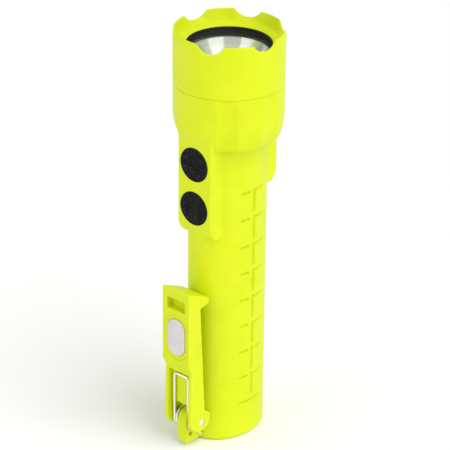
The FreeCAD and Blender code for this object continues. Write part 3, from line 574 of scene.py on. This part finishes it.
def make_materials():
    """One procedural material for each slot of the record."""
    # The last colour is painted shade that darkens the grip grooves and other hollows.
    hi_vis = moulded("hi_vis_nylon", (0.635, 0.735, 0.003), (0.67, 0.765, 0.006), (0.75, 0.83, 0.15),
                     (0.40, 0.52), 0.30, 0.012, wear_and_highlight_share=0.35, hollow_shade=(0.45, 0.56, 0.0))
    hi_vis.feed(hi_vis.shader, "Specular IOR Level", 0.24)
    gasket = moulded("black_rubber", (0.006, 0.006, 0.006), (0.010, 0.010, 0.010), (0.04, 0.04, 0.04),
                     (0.50, 0.68), 0.20, 0.012)
    # Its lighter edge colour at full share is a painted highlight on the stud tips.
    cap = moulded("button_rubber", (0.004, 0.0035, 0.004), (0.008, 0.007, 0.008), (0.20, 0.19, 0.19),
                  (0.34, 0.46), 0.18, 0.008, wear_and_highlight_share=1.0)
    for rubber in (gasket, cap):
        rubber.feed(rubber.shader, "Specular IOR Level", 0.22)
    moulded("grey_plastic", (0.030, 0.030, 0.033), (0.048, 0.048, 0.052), (0.11, 0.11, 0.11),
            (0.42, 0.58), 0.35, 0.015)
    moulded("switch_plastic", (0.014, 0.014, 0.016), (0.024, 0.024, 0.027), (0.08, 0.08, 0.08),
            (0.35, 0.50), 0.30, 0.010)
    moulded("white_plastic", (0.78, 0.78, 0.75), (0.86, 0.86, 0.84), (0.93, 0.93, 0.92),
            (0.16, 0.28), 0.50, 0.006)
    moulded("led_phosphor", (0.82, 0.62, 0.06), (0.93, 0.80, 0.16), (0.96, 0.90, 0.5),
            (0.25, 0.40), 0.12, 0.010)
    moulded("contact_brass", (0.62, 0.44, 0.16), (0.76, 0.58, 0.26), (0.90, 0.76, 0.45),
            (0.22, 0.36), 0.25, 0.006, metallic=1.0)
    moulded("magnet_nickel", (0.62, 0.59, 0.58), (0.70, 0.67, 0.66), (0.84, 0.82, 0.81),
            (0.36, 0.50), 0.30, 0.008, metallic=0.55)
    brushed("aluminium", (0.58, 0.59, 0.61), (0.76, 0.77, 0.79), (1.0, 1.0, 14.0), (0.26, 0.42))
    brushed("spring_steel", (0.80, 0.80, 0.80), (0.90, 0.90, 0.90), (6.0, 1.0, 1.0), (0.30, 0.42))
    chrome("reflector_chrome")
    clear("clear_lens")
    circuit("circuit_board")
    jacket("cell_jacket")


def brushed(slot, dark, light, stretch, roughness):
    """Drawn or turned metal with fine streaks."""
    look = Look(slot)
    streaks = look.noise(1.2, 5.0, 0.7, look.stretched(stretch))
    look.feed(look.shader, "Base Color", look.mix(look.spread(streaks, (0.3, 0.7), (0.0, 1.0)), dark, light))
    look.feed(look.shader, "Roughness", look.spread(look.noise(2.5, 4.0), (0.3, 0.7), roughness))
    look.feed(look.shader, "Metallic", 1.0)
    look.bump((streaks, 0.003, 0.4))


def chrome(slot):
    """Bright vacuum-metallised plastic with a faint ripple."""
    look = Look(slot)
    look.feed(look.shader, "Base Color",
              look.mix(look.noise(4.0), (0.90, 0.91, 0.92), (0.96, 0.96, 0.955)))
    look.feed(look.shader, "Roughness", look.spread(look.noise(2.0), (0.3, 0.7), (0.08, 0.15)))
    look.feed(look.shader, "Metallic", 0.6)
    look.bump((look.noise(5.0, 1.0), 0.02, 0.4))


def clear(slot):
    """Clear polished plastic: see-through, with gloss that grows towards grazing angles."""
    look = Look(slot)
    tint = look.mix(look.noise(9.0), (0.955, 0.965, 0.965), (0.985, 0.99, 0.99))
    through = look.add("ShaderNodeBsdfTransparent")
    look.feed(through, "Color", tint)
    gloss = look.add("ShaderNodeBsdfGlossy")
    look.feed(gloss, "Roughness", look.spread(look.noise(3.0, 4.0), (0.35, 0.7), (0.01, 0.05)))
    slant = look.add("ShaderNodeLayerWeight")
    look.feed(slant, "Blend", 0.5)
    grazing = look.add("ShaderNodeMath", operation="POWER")
    look.feed(grazing, 0, slant.outputs["Facing"])
    look.feed(grazing, 1, 5.0)
    blend = look.add("ShaderNodeMixShader")
    look.feed(blend, 0, look.spread(grazing.outputs[0], (0.0, 1.0), (0.04, 1.0)))
    look.feed(blend, 1, through.outputs["BSDF"])
    look.feed(blend, 2, gloss.outputs["BSDF"])
    look.tree.links.new(blend.outputs["Shader"], look.output.inputs["Surface"])
    look.tree.nodes.remove(look.shader)


def circuit(slot):
    """Green solder mask over copper tracks."""
    look = Look(slot)
    tracks = look.add("ShaderNodeTexBrick")
    look.feed(tracks, "Vector", look.place)
    look.feed(tracks, "Scale", 1.0 / (3.0 * MM))
    look.feed(tracks, "Mortar Size", 0.06)
    look.feed(tracks, "Color1", (0.010, 0.115, 0.045, 1))
    look.feed(tracks, "Color2", (0.014, 0.150, 0.060, 1))
    look.feed(tracks, "Mortar", (0.045, 0.26, 0.10, 1))
    speckle = look.spread(look.noise(0.8, 4.0), (0.3, 0.7), (0.0, 0.4))
    look.feed(look.shader, "Base Color", look.mix(speckle, tracks.outputs["Color"], (0.02, 0.10, 0.05)))
    look.feed(look.shader, "Roughness", look.spread(look.noise(2.0), (0.3, 0.7), (0.24, 0.42)))
    look.bump((tracks.outputs["Fac"], 0.03, 0.5), (look.noise(0.5), 0.01, 0.4))


def jacket(slot):
    """A plain grey sleeve with a lighter band at each end of the cell, and scuffs."""
    look = Look(slot)
    band = look.add("ShaderNodeTexWave", wave_type="BANDS", bands_direction="Z")
    look.feed(band, "Vector", look.place)
    look.feed(band, "Scale", 20.0)
    base = look.mix(look.spread(band.outputs["Fac"], (0.6, 0.8), (0.0, 1.0)),
                    (0.26, 0.28, 0.31), (0.40, 0.42, 0.45))
    scuffs = look.spread(look.noise(2.2, 6.0, 0.7), (0.55, 0.72), (0.0, 0.5))
    look.feed(look.shader, "Base Color", look.mix(scuffs, base, (0.62, 0.63, 0.64)))
    look.feed(look.shader, "Metallic", 0.6)
    look.feed(look.shader, "Roughness", look.spread(look.noise(3.0), (0.3, 0.7), (0.30, 0.45)))
    look.bump((look.noise(0.6), 0.008, 0.5))


def finish_piece(piece, body, slot, *nodes):
    """Gives a piece the material of its slot, puts it on its body and hides the CAD nodes that it stands for.
    """
    piece.data.materials.clear()
    piece.data.materials.append(material_of[slot])
    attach(piece, body)
    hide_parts(*nodes)


# ---------------------------------------------------------------- body


def oval_radius(turn, half_width, half_depth):
    """The distance from the axis to an ellipse, along each angle."""
    return 1 / np.sqrt((np.sin(turn) / half_width) ** 2 + (np.cos(turn) / half_depth) ** 2)


def pad_radius(turn, z, angle):
    """The distance from the axis to one raised pad, and 0 where there is no pad."""
    foot_z, full_z = PAD_FOOTS[angle]
    rise = np.clip((z - foot_z) / (full_z - foot_z), 0, 1)
    eased = np.sin(rise * math.pi / 2) ** 0.9
    depth = HANDLE_HALF_DEPTH - 0.6 + (PAD_DEPTH - HANDLE_HALF_DEPTH + 0.6) * eased
    facing = np.cos(turn - math.radians(angle))
    forward = np.maximum(facing, 0.02) / depth
    sideways = np.abs(np.sin(turn)) / PAD_HALF_WIDTH
    radius = (forward ** PAD_EDGE_POWER + sideways ** PAD_EDGE_POWER) ** (-1 / PAD_EDGE_POWER)
    return np.where((facing > 0.05) & (z > foot_z), radius, 0.01)


def flute_radius(turn, radius):
    """The distance from the axis to the nearest flute's surface."""
    centre = radius - FLUTE_DEPTH + FLUTE_RADIUS
    nearest = np.full(np.broadcast(turn, radius).shape, 99.0)
    for angle in FLUTE_ANGLES:
        offset = np.angle(np.exp(1j * (turn - math.radians(angle))))
        across = np.minimum((centre * np.sin(offset)) ** 2, FLUTE_RADIUS ** 2)
        surface = centre * np.cos(offset) - np.sqrt(FLUTE_RADIUS ** 2 - across)
        nearest = np.where(np.abs(offset) < 0.35, np.minimum(nearest, surface), nearest)
    return nearest


def groove_depth(x, y, z):
    """How deep the grip grooves are at points of the handle."""
    runs = []
    for index in range(GROOVE_COUNT + 1):
        top = GROOVE_TOP_Z - index * GROOVE_PITCH
        if index == GROOVE_COUNT:
            runs.append((GROOVE_FRONT_Y[0], GROOVE_BACK_Y, top, top, LEVEL_HALF_WIDTH))
        else:
            runs.append((0.0, GROOVE_BACK_Y, top, top, LEVEL_HALF_WIDTH))
            runs.append((*GROOVE_FRONT_Y, top, top, LEVEL_HALF_WIDTH))
            runs.append((0.0, 0.0, top - GROOVE_LENGTH, top, UPRIGHT_HALF_WIDTH))
    inside = np.full(x.shape, -99.0)
    for y0, y1, z0, z1, half_width in runs:
        away_y = y - np.clip(y, y0, y1)
        away_z = z - np.clip(z, z0, z1)
        inside = np.maximum(inside, half_width - np.hypot(away_y, away_z))
    return GROOVE_DEPTH * smooth_step(inside, 0, GROOVE_WALL)


def body_columns():
    """Angles round the body, closer together at the pads' edges and the upright grooves."""
    quarter = np.array(divided((0, 18, 1.5), (18, 36, 0.45), (36, 60, 1.2), (60, 84, 0.6), (84, 90, 0.3)))
    half = np.concatenate([quarter, 180 - quarter[::-1][1:]])
    return np.radians(np.concatenate([half, 360 - half[::-1][1:-1]]))


def body_rows():
    """Rows up the handle, closer together at the level grooves and the pads' feet."""
    tops = [GROOVE_TOP_Z - index * GROOVE_PITCH for index in range(GROOVE_COUNT + 1)]
    coarse = list(np.arange(TAIL_ROUND, 146.6, ROW_STEP))
    fine = [top + offset for top in tops for offset in np.arange(-1.12, 1.13, GROOVE_ROW_STEP)]
    feet = [z for low, high in PAD_FOOTS.values()
            for z in np.arange(low - FOOT_ROW_STEP, high + 0.4, FOOT_ROW_STEP)]
    ends = [top - GROOVE_LENGTH + offset for top in tops[:-1] for offset in np.arange(-1.4, 0.3, 0.2)]
    heights = sorted(coarse + fine + feet + ends)
    kept = [heights[0]]
    for z in heights[1:]:
        if z - kept[-1] > 0.09:
            kept.append(z)
    return np.array(kept)


def body_rings():
    """The outer skin of the body as rings from the middle of its tail to the middle of its collar."""
    turn = body_columns()[None, :]
    plain = oval_radius(turn, HANDLE_HALF_WIDTH, HANDLE_HALF_DEPTH)
    rings = []

    def add(radius, z):
        flat = np.broadcast_to(radius, turn.shape)
        height = np.broadcast_to(z, turn.shape)
        rings.append(np.stack([flat * np.sin(turn), -flat * np.cos(turn), height], axis=-1)[0])

    for share in TAIL_SHARES:
        add((plain - TAIL_ROUND) * share, 0.0)
    for step in range(TAIL_ROUND_STEPS):
        angle = math.radians(90 * step / TAIL_ROUND_STEPS)
        add(plain - TAIL_ROUND * (1 - math.sin(angle)), TAIL_ROUND * (1 - math.cos(angle)))
    for z in body_rows():
        radius = plain ** BLEND_POWER
        for angle in PAD_FOOTS:
            radius = radius + pad_radius(turn, z, angle) ** BLEND_POWER
        radius = radius ** (1 / BLEND_POWER)
        x, y = radius * np.sin(turn), -radius * np.cos(turn)
        dent = groove_depth(x, y, np.full(turn.shape, z)) * smooth_step(np.abs(np.sin(turn)), *GROOVE_SIDE)
        add(radius - dent, z)
    for head, z in smooth_curve(HEAD_PROFILE, 0.45):
        fluted = smooth_min(np.full(turn.shape, head), flute_radius(turn, head), FLUTE_BLEND)
        fade = 1 - CORE_FADE * smooth_step(z, *CORE_FADE_Z)
        radius = fluted ** BLEND_POWER + (plain * fade) ** BLEND_POWER
        for angle in PAD_FOOTS:
            radius = radius + (pad_radius(turn, z, angle) * fade) ** BLEND_POWER
        add(radius ** (1 / BLEND_POWER) if z < BLEND_TOP_Z else fluted, z)
    groove_radius, low, high = O_RING_GROOVE
    groove_edge = [(COLLAR_RADIUS, -0.1), (COLLAR_RADIUS - 0.15, 0.0), (groove_radius, 0.05)]
    for radius, inset in groove_edge:
        add(radius, low + inset)
    for radius, inset in groove_edge[::-1]:
        add(radius, high - inset)
    start, end = THREAD_Z
    for z in np.arange(start, end, THREAD_ROW_STEP):
        phase = 2 * math.pi * z / THREAD_PITCH - turn
        run_in = smooth_step(z, start, start + THREAD_RUN_OUT)
        run_out = 1 - smooth_step(z, end - THREAD_RUN_OUT, end)
        add(COLLAR_RADIUS - THREAD_DEPTH * run_in * run_out * (0.5 - 0.5 * np.cos(phase)), z)
    inset, drop = COLLAR_CHAMFER
    add(COLLAR_RADIUS, COLLAR_TOP_Z - drop)
    for radius in (COLLAR_RADIUS - inset, 12.0, 0.4):
        add(radius, COLLAR_TOP_Z)
    return np.array(rings)


def button_hole(z):
    """A cutter for one button's hole through the pad."""
    cutter = lathe("cutter", [(BUTTON_RADIUS, 19.0), (BUTTON_RADIUS, 24.0)], 128)
    along_front(cutter)
    cutter.data.transform(Matrix.Translation((0, 0, z * MM)))
    return cutter


def make_body():
    """The moulded body: a hollow shell with the real pockets, openings and flutes."""
    body = ring_solid("body_shell", body_rings())
    fix_normals(body)
    turn = np.linspace(0, 2 * math.pi, 160, endpoint=False)
    radius = oval_radius(turn, BAY_HALF_WIDTH, BAY_HALF_DEPTH)
    bay = np.array([np.stack([radius * np.sin(turn), -radius * np.cos(turn), np.full(turn.shape, z)], axis=-1)
                    for z in BAY_Z])
    cutters = [
        ring_solid("cutter", bay),
        lathe("cutter", [(HEAD_BORE_RADIUS, z) for z in HEAD_BORE_Z]),
        block("cutter", BUTTON_POCKET),
        block("cutter", FLOOD_POCKET),
        block("cutter", KNUCKLE_POCKET),
        rounded_block("cutter", FLOOD_OPENING, FLOOD_Z, [(0, 20.0), (0, 24.0)]),
    ] + [button_hole(z) for z in BUTTON_Z.values()]
    for cutter in cutters:
        fix_normals(cutter)
        boolean(body, cutter, "DIFFERENCE")
    shade(body, 55)
    finish_piece(body, "body", "hi_vis_nylon", "body_housing")
    knuckle = softened_copy("clip_knuckle", "hinge_finger", voxel=0.2, passes=5, share=0.5)
    finish_piece(knuckle, "body", "hi_vis_nylon", "clip_knuckle")


# ---------------------------------------------------------------- head


def notched(radius, turn):
    """The height of the bezel's top at a radius, with the notches scooped out of it."""
    axis_z = BEZEL_TOP_Z - NOTCH_DEPTH + NOTCH_RADIUS
    top = np.full(turn.shape, BEZEL_TOP_Z)
    for index in range(NOTCH_COUNT):
        offset = turn - math.radians(NOTCH_CLOCK + 360 / NOTCH_COUNT * index)
        across = radius * np.sin(offset)
        inside = (np.abs(across) < NOTCH_RADIUS) & (np.cos(offset) > 0)
        floor = axis_z - np.sqrt(np.maximum(NOTCH_RADIUS ** 2 - across ** 2, 0))
        top = np.where(inside, smooth_min(top, floor, NOTCH_BLEND), top)
    return top


def lowered(z, top, fixed_z, round_z):
    """Moves a profile height down with a notch: rounds keep their shape and walls get shorter."""
    drop = BEZEL_TOP_Z - top
    share = (round_z - drop - fixed_z) / (round_z - fixed_z)
    return np.where(z >= round_z, z - drop, np.where(z > fixed_z, fixed_z + (z - fixed_z) * share, z))


def make_bezel():
    """The screw-on bezel with its scooped notches, sloping lip and bore."""
    turn = np.radians(np.arange(0, 360, 0.5))
    rings = []
    for radius, z in smooth_curve(BEZEL_OUTSIDE, 0.8):
        height = lowered(np.full(turn.shape, z), notched(radius, turn), *BEZEL_WALL_Z)
        rings.append(np.stack([radius * np.sin(turn), -radius * np.cos(turn), height], axis=-1))
    for radius, z in straight_curve(BEZEL_INSIDE, 0.8):
        height = lowered(np.full(turn.shape, z), notched(radius, turn), *BEZEL_MOUTH_Z)
        rings.append(np.stack([radius * np.sin(turn), -radius * np.cos(turn), height], axis=-1))
    bezel = ring_solid("bezel_ring", np.array(rings), closed_rows=True)
    fix_normals(bezel)
    shade(bezel, 40)
    finish_piece(bezel, "bezel", "hi_vis_nylon", "bezel")


def make_lens():
    """The clear lens with softened edges, and the rubber gasket on it."""
    low, high = LENS_Z
    flat = LENS_RADIUS - LENS_CHAMFER
    lens = lathe("lens_disc", [(0.5, low), (flat, low), (LENS_RADIUS, low + LENS_CHAMFER),
                               (LENS_RADIUS, high - LENS_CHAMFER), (flat, high), (0.5, high)])
    shade(lens)
    fix_normals(lens)
    finish_piece(lens, "lens_stack", "clear_lens", "lens")
    gasket = lathe("lens_seal", GASKET_PROFILE, 240, closed_rows=True)
    fix_normals(gasket)
    shade(gasket, 50)
    finish_piece(gasket, "lens_stack", "black_rubber", "lens_gasket")


def make_reflector():
    """The parabolic reflector, with its flat rim and the skirt that stands on the collar."""
    low, high = REFLECTOR_Z
    rise = high - LED_FOCUS_Z
    focal = (math.hypot(rise, REFLECTOR_MOUTH_RADIUS) - rise) / 2
    vertex_z = LED_FOCUS_Z - focal
    foot = math.sqrt(4 * focal * (low - vertex_z))
    radii = np.linspace(foot, REFLECTOR_MOUTH_RADIUS, 60)
    inner = [(radius, vertex_z + radius ** 2 / (4 * focal)) for radius in radii]
    under_rim = REFLECTOR_RIM[-1][1]
    outer = [(radius + REFLECTOR_WALL, z) for radius, z in inner[::-1] if z < under_rim]
    cup = lathe("reflector_cup", inner + REFLECTOR_RIM + outer, 240, closed_rows=True)
    fix_normals(cup)
    shade(cup, 30)
    finish_piece(cup, "body", "reflector_chrome", "reflector")


# ---------------------------------------------------------------- buttons and floodlight


def cap_height(x, z, ribbed):
    """How far the cap stands out: a shallow crown with a grid of small pyramids or upright ribs."""
    radius = np.hypot(x, z)
    crown = CAP_EDGE + CAP_CROWN * (1 - (radius / CAP_RADIUS) ** 2)
    wave_x = np.abs(np.mod(x / STUD_PITCH, 1) - 0.5) * 2
    wave_z = np.abs(np.mod(z / STUD_PITCH, 1) - 0.5) * 2
    studs = 1 - np.maximum(wave_x, wave_z)
    if ribbed:
        ribs = 1 - np.abs(np.mod(x / RIB_PITCH + 0.5, 1) - 0.5) * 2
        studs = np.where(np.abs(x) < RIB_HALF_WIDTH, ribs, studs)
    inside = 1 - smooth_step(radius, CAP_RADIUS - 0.6, CAP_RADIUS - 0.3)
    return crown + STUD_HEIGHT * inside * (np.clip(studs * 1.5, 0, 1) - 0.5)


def make_button(name):
    """One rubber cap with its raised grid, and its rim."""
    turn = np.radians(np.arange(0, 360, 1.0))
    ribbed = name == "floodlight"
    rings = []
    sides = [(CAP_CHAMFER, CAP_BACK), (CAP_RADIUS - CAP_CHAMFER, CAP_BACK),
             (CAP_RADIUS, CAP_BACK + CAP_CHAMFER), (CAP_RADIUS, CAP_EDGE - CAP_SIDE_DROP)]
    for radius, depth in sides:
        x, z = radius * np.sin(turn), radius * np.cos(turn)
        rings.append(np.stack([x, z, np.full(turn.shape, depth)], axis=-1))
    edge_radii = [CAP_RADIUS - inset for inset in CAP_EDGE_INSETS]
    face_radii = np.arange(CAP_RADIUS - CAP_FACE_INSET, 0.1, -CAP_RING_STEP)
    for radius in np.concatenate([edge_radii, face_radii]):
        x, z = radius * np.sin(turn), radius * np.cos(turn)
        height = cap_height(x, z, ribbed)
        if radius == edge_radii[0]:
            height = height - 0.18
        rings.append(np.stack([x, z, height], axis=-1))
    cap = ring_solid(name + "_cap", np.array(rings))
    along_front(cap)
    cap.data.transform(Matrix.Translation((0, 0, BUTTON_Z[name] * MM)))
    fix_normals(cap)
    shade(cap, 25)
    finish_piece(cap, name + "_button", "button_rubber", name + "_button")
    rim = lathe(name + "_rim", RIM_PROFILE, 160, closed_rows=True)
    along_front(rim)
    rim.data.transform(Matrix.Translation((0, 0, BUTTON_Z[name] * MM)))
    fix_normals(rim)
    shade(rim, 50)
    finish_piece(rim, "body", "black_rubber", name + "_button_rim")


def make_floodlight():
    """The floodlight's clear window, white tray with sloping sides, and yellow LEDs."""
    window = rounded_block("flood_pane", FLOOD_PANE, FLOOD_Z,
                           [(0.2, 20.9), (0, 21.1), (0, 22.35), (0.08, 22.5), (0.25, 22.6)])
    fix_normals(window)
    shade(window)
    finish_piece(window, "body", "clear_lens", "flood_window")
    tray = rounded_block("flood_tray", FLOOD_TRAY, FLOOD_Z,
                         [(0, 15.9), (0, 20.8), (1.3, 20.8), (1.5, 20.6), (3.6, 16.4), (3.6, 15.9)],
                         closed_rows=True)
    fix_normals(tray)
    shade(tray)
    finish_piece(tray, "body", "white_plastic", "flood_reflector")
    leds = []
    for offset in FLOOD_LED_OFFSETS:
        led = rounded_block("flood_emitters", FLOOD_LED, FLOOD_Z + offset,
                            [(0, 15.9), (0, 16.65), (0.1, 16.75), (0.35, 16.75), (0.5, 16.9)])
        fix_normals(led)
        leds.append(led)
    for led in leds[1:]:
        join_meshes(leds[0], led)
    shade(leds[0])
    finish_piece(leds[0], "body", "led_phosphor", "flood_leds")


def join_meshes(piece, other):
    """Adds another piece's mesh to a piece and deletes the other."""
    work = bmesh.new()
    work.from_mesh(piece.data)
    work.from_mesh(other.data)
    work.to_mesh(piece.data)
    work.free()
    bpy.data.objects.remove(other)


# ---------------------------------------------------------------- clip


def front(depth, z, x=0.0):
    """A point at a depth in front of the light's axis."""
    return (x, -depth, z)


def coil_path(side):
    """One coil on the pin, from below it to its front, a turn and a quarter later."""
    depth, z = HINGE
    start, end = COIL_X
    path = []
    for step in range(COIL_STEPS + 1):
        t = step / COIL_STEPS
        angle = 2 * math.pi * COIL_TURNS * t
        path.append(front(depth + COIL_RADIUS * math.sin(angle), z - COIL_RADIUS * math.cos(angle),
                          side * (start + (end - start) * t)))
    return path


def make_clip():
    """The clip lever, its magnet, its hinge pin and its double torsion spring."""
    lever = softened_copy("clip_lever", "clip_arm", voxel=0.24, passes=6, share=0.5)
    finish_piece(lever, "clip", "hi_vis_nylon", "clip_lever")
    width, height = MAGNET_SIZE
    face, back = span("clip_magnet", Y)
    magnet = rounded_block("magnet_insert", (width, height, width), MAGNET_Z,
                           [(0, back), (0, face + 0.35), (0.1, face + 0.12), (0.35, face)])
    fix_normals(magnet)
    shade(magnet, 50)
    finish_piece(magnet, "clip", "magnet_nickel", "clip_magnet")
    pin = lathe("hinge_pin", [(0.1, -PIN_HALF_LENGTH), (1.1, 0.1 - PIN_HALF_LENGTH),
                              (PIN_RADIUS, 0.4 - PIN_HALF_LENGTH), (PIN_RADIUS, PIN_HALF_LENGTH - 0.4),
                              (1.1, PIN_HALF_LENGTH - 0.1), (0.1, PIN_HALF_LENGTH)], 64)
    pin.data.transform(Matrix.Translation(Vector(front(*HINGE)) * MM) @ Matrix.Rotation(math.pi / 2, 4, "Y"))
    fix_normals(pin)
    shade(pin, 50)
    finish_piece(pin, "body", "spring_steel", "clip_hinge_pin")
    right = coil_path(1)
    left = coil_path(-1)
    foot_z, top_z = LEG_Z
    corners = [(foot_z, LEG_X), (top_z, LEG_X), (top_z, -LEG_X), (foot_z, -LEG_X)]
    legs = rounded_path([right[-1]] + [front(LEG_DEPTH, z, x) for z, x in corners] + [left[-1]], LEG_BEND)
    spring = wire("spring_wire", [right + legs[1:-1] + left[::-1]], WIRE_RADIUS)
    finish_piece(spring, "clip", "spring_steel", "clip_spring")
    depth, z = HINGE
    bearing = []
    for x in (-COIL_X[0], COIL_X[0]):
        bearing.append([front(*BEARING_END, x), front(depth, z - COIL_RADIUS, x)])
    ends = wire("spring_feet", bearing, WIRE_RADIUS)
    finish_piece(ends, "body", "spring_steel", "clip_spring")


# ---------------------------------------------------------------- stage


def area_light(name, place, size, power, target):
    """A soft square light that faces a point."""
    light = bpy.data.lights.new(name, "AREA")
    light.shape = "SQUARE"
    light.size = size
    light.energy = power
    lamp = bpy.data.objects.new(name, light)
    lamp.location = place
    lamp.rotation_euler = (Vector(target) - Vector(place)).to_track_quat("-Z", "Y").to_euler()
    bpy.context.scene.collection.objects.link(lamp)


def sky_light(name, towards, strength):
    """A very soft distant light from one direction, which lights the whole floor evenly."""
    light = bpy.data.lights.new(name, "SUN")
    light.energy = strength
    light.angle = math.radians(SKY_LIGHT_SPREAD)
    lamp = bpy.data.objects.new(name, light)
    lamp.rotation_euler = (-towards).to_track_quat("-Z", "Y").to_euler()
    bpy.context.scene.collection.objects.link(lamp)


def make_stage():
    """A plain pale floor, a white surround and soft lights on both sides."""
    size = FLOOR_HALF_SIZE
    corners = [(-size, -size, 0), (size, -size, 0), (size, size, 0), (-size, size, 0)]
    mesh = bpy.data.meshes.new("floor")
    mesh.from_pydata(corners, [], [(0, 1, 2, 3)])
    floor = bpy.data.objects.new("floor", mesh)
    bpy.context.scene.collection.objects.link(floor)
    look = Look("floor")
    look.feed(look.shader, "Base Color", look.mix(look.noise(400.0), (0.93, 0.93, 0.93), (0.95, 0.95, 0.95)))
    look.feed(look.shader, "Roughness", 0.9)
    floor.data.materials.append(look.material)
    world = bpy.data.worlds.new("studio")
    bpy.context.scene.world = world
    world.use_nodes = True
    background = world.node_tree.nodes["Background"]
    background.inputs["Color"].default_value = (1, 1, 1, 1)
    background.inputs["Strength"].default_value = WORLD_STRENGTH
    turn = math.radians(CAMERA_AZIMUTH)
    right = Vector((math.cos(turn), math.sin(turn), 0))
    away = Vector((-math.sin(turn), math.cos(turn), 0))
    for name, (across, near, up, power) in LIGHTS.items():
        area_light(name, right * across - away * near + Vector((0, 0, up)), LIGHT_SIZE, power, TARGET)
    across, near, up, strength = SKY_LIGHT
    sky_light("high_light", right * across - away * near + Vector((0, 0, up)), strength)


def make_camera():
    """The camera, far off to the front right and looking down a little."""
    data = bpy.data.cameras.new("camera")
    data.sensor_width = 36.0
    data.lens = CAMERA_LENS
    data.clip_start = 0.01
    camera = bpy.data.objects.new("camera", data)
    bpy.context.scene.collection.objects.link(camera)
    yaw, pitch, roll = (math.radians(angle) for angle in (CAMERA_YAW, CAMERA_PITCH, CAMERA_ROLL))
    forward = Vector((math.sin(yaw) * math.cos(pitch), math.cos(yaw) * math.cos(pitch), -math.sin(pitch)))
    right = Vector((math.cos(yaw), -math.sin(yaw), 0))
    up = right.cross(forward)
    tilted_right = math.cos(roll) * right + math.sin(roll) * up
    tilted_up = math.cos(roll) * up - math.sin(roll) * right
    place = Matrix((tilted_right, tilted_up, -forward)).transposed().to_4x4()
    place.translation = Vector((0, -CAMERA_DISTANCE * MM, CAMERA_HEIGHT * MM))
    camera.matrix_world = Matrix.Rotation(math.radians(CAMERA_AZIMUTH), 4, "Z") @ place
    bpy.context.scene.camera = camera
    bpy.context.scene.view_settings.view_transform = "Standard"


# ---------------------------------------------------------------- build

make_materials()
slot_of = {part["node"]: part["material_slot"] for part in frame["record"]["subparts"]}
for node, shape in frame["nodes"].items():
    shape.data.materials.clear()
    shape.data.materials.append(material_of[slot_of[node]])
make_body()
make_bezel()
make_lens()
make_reflector()
for button in BUTTON_Z:
    make_button(button)
make_floodlight()
make_clip()
make_stage()
make_camera()
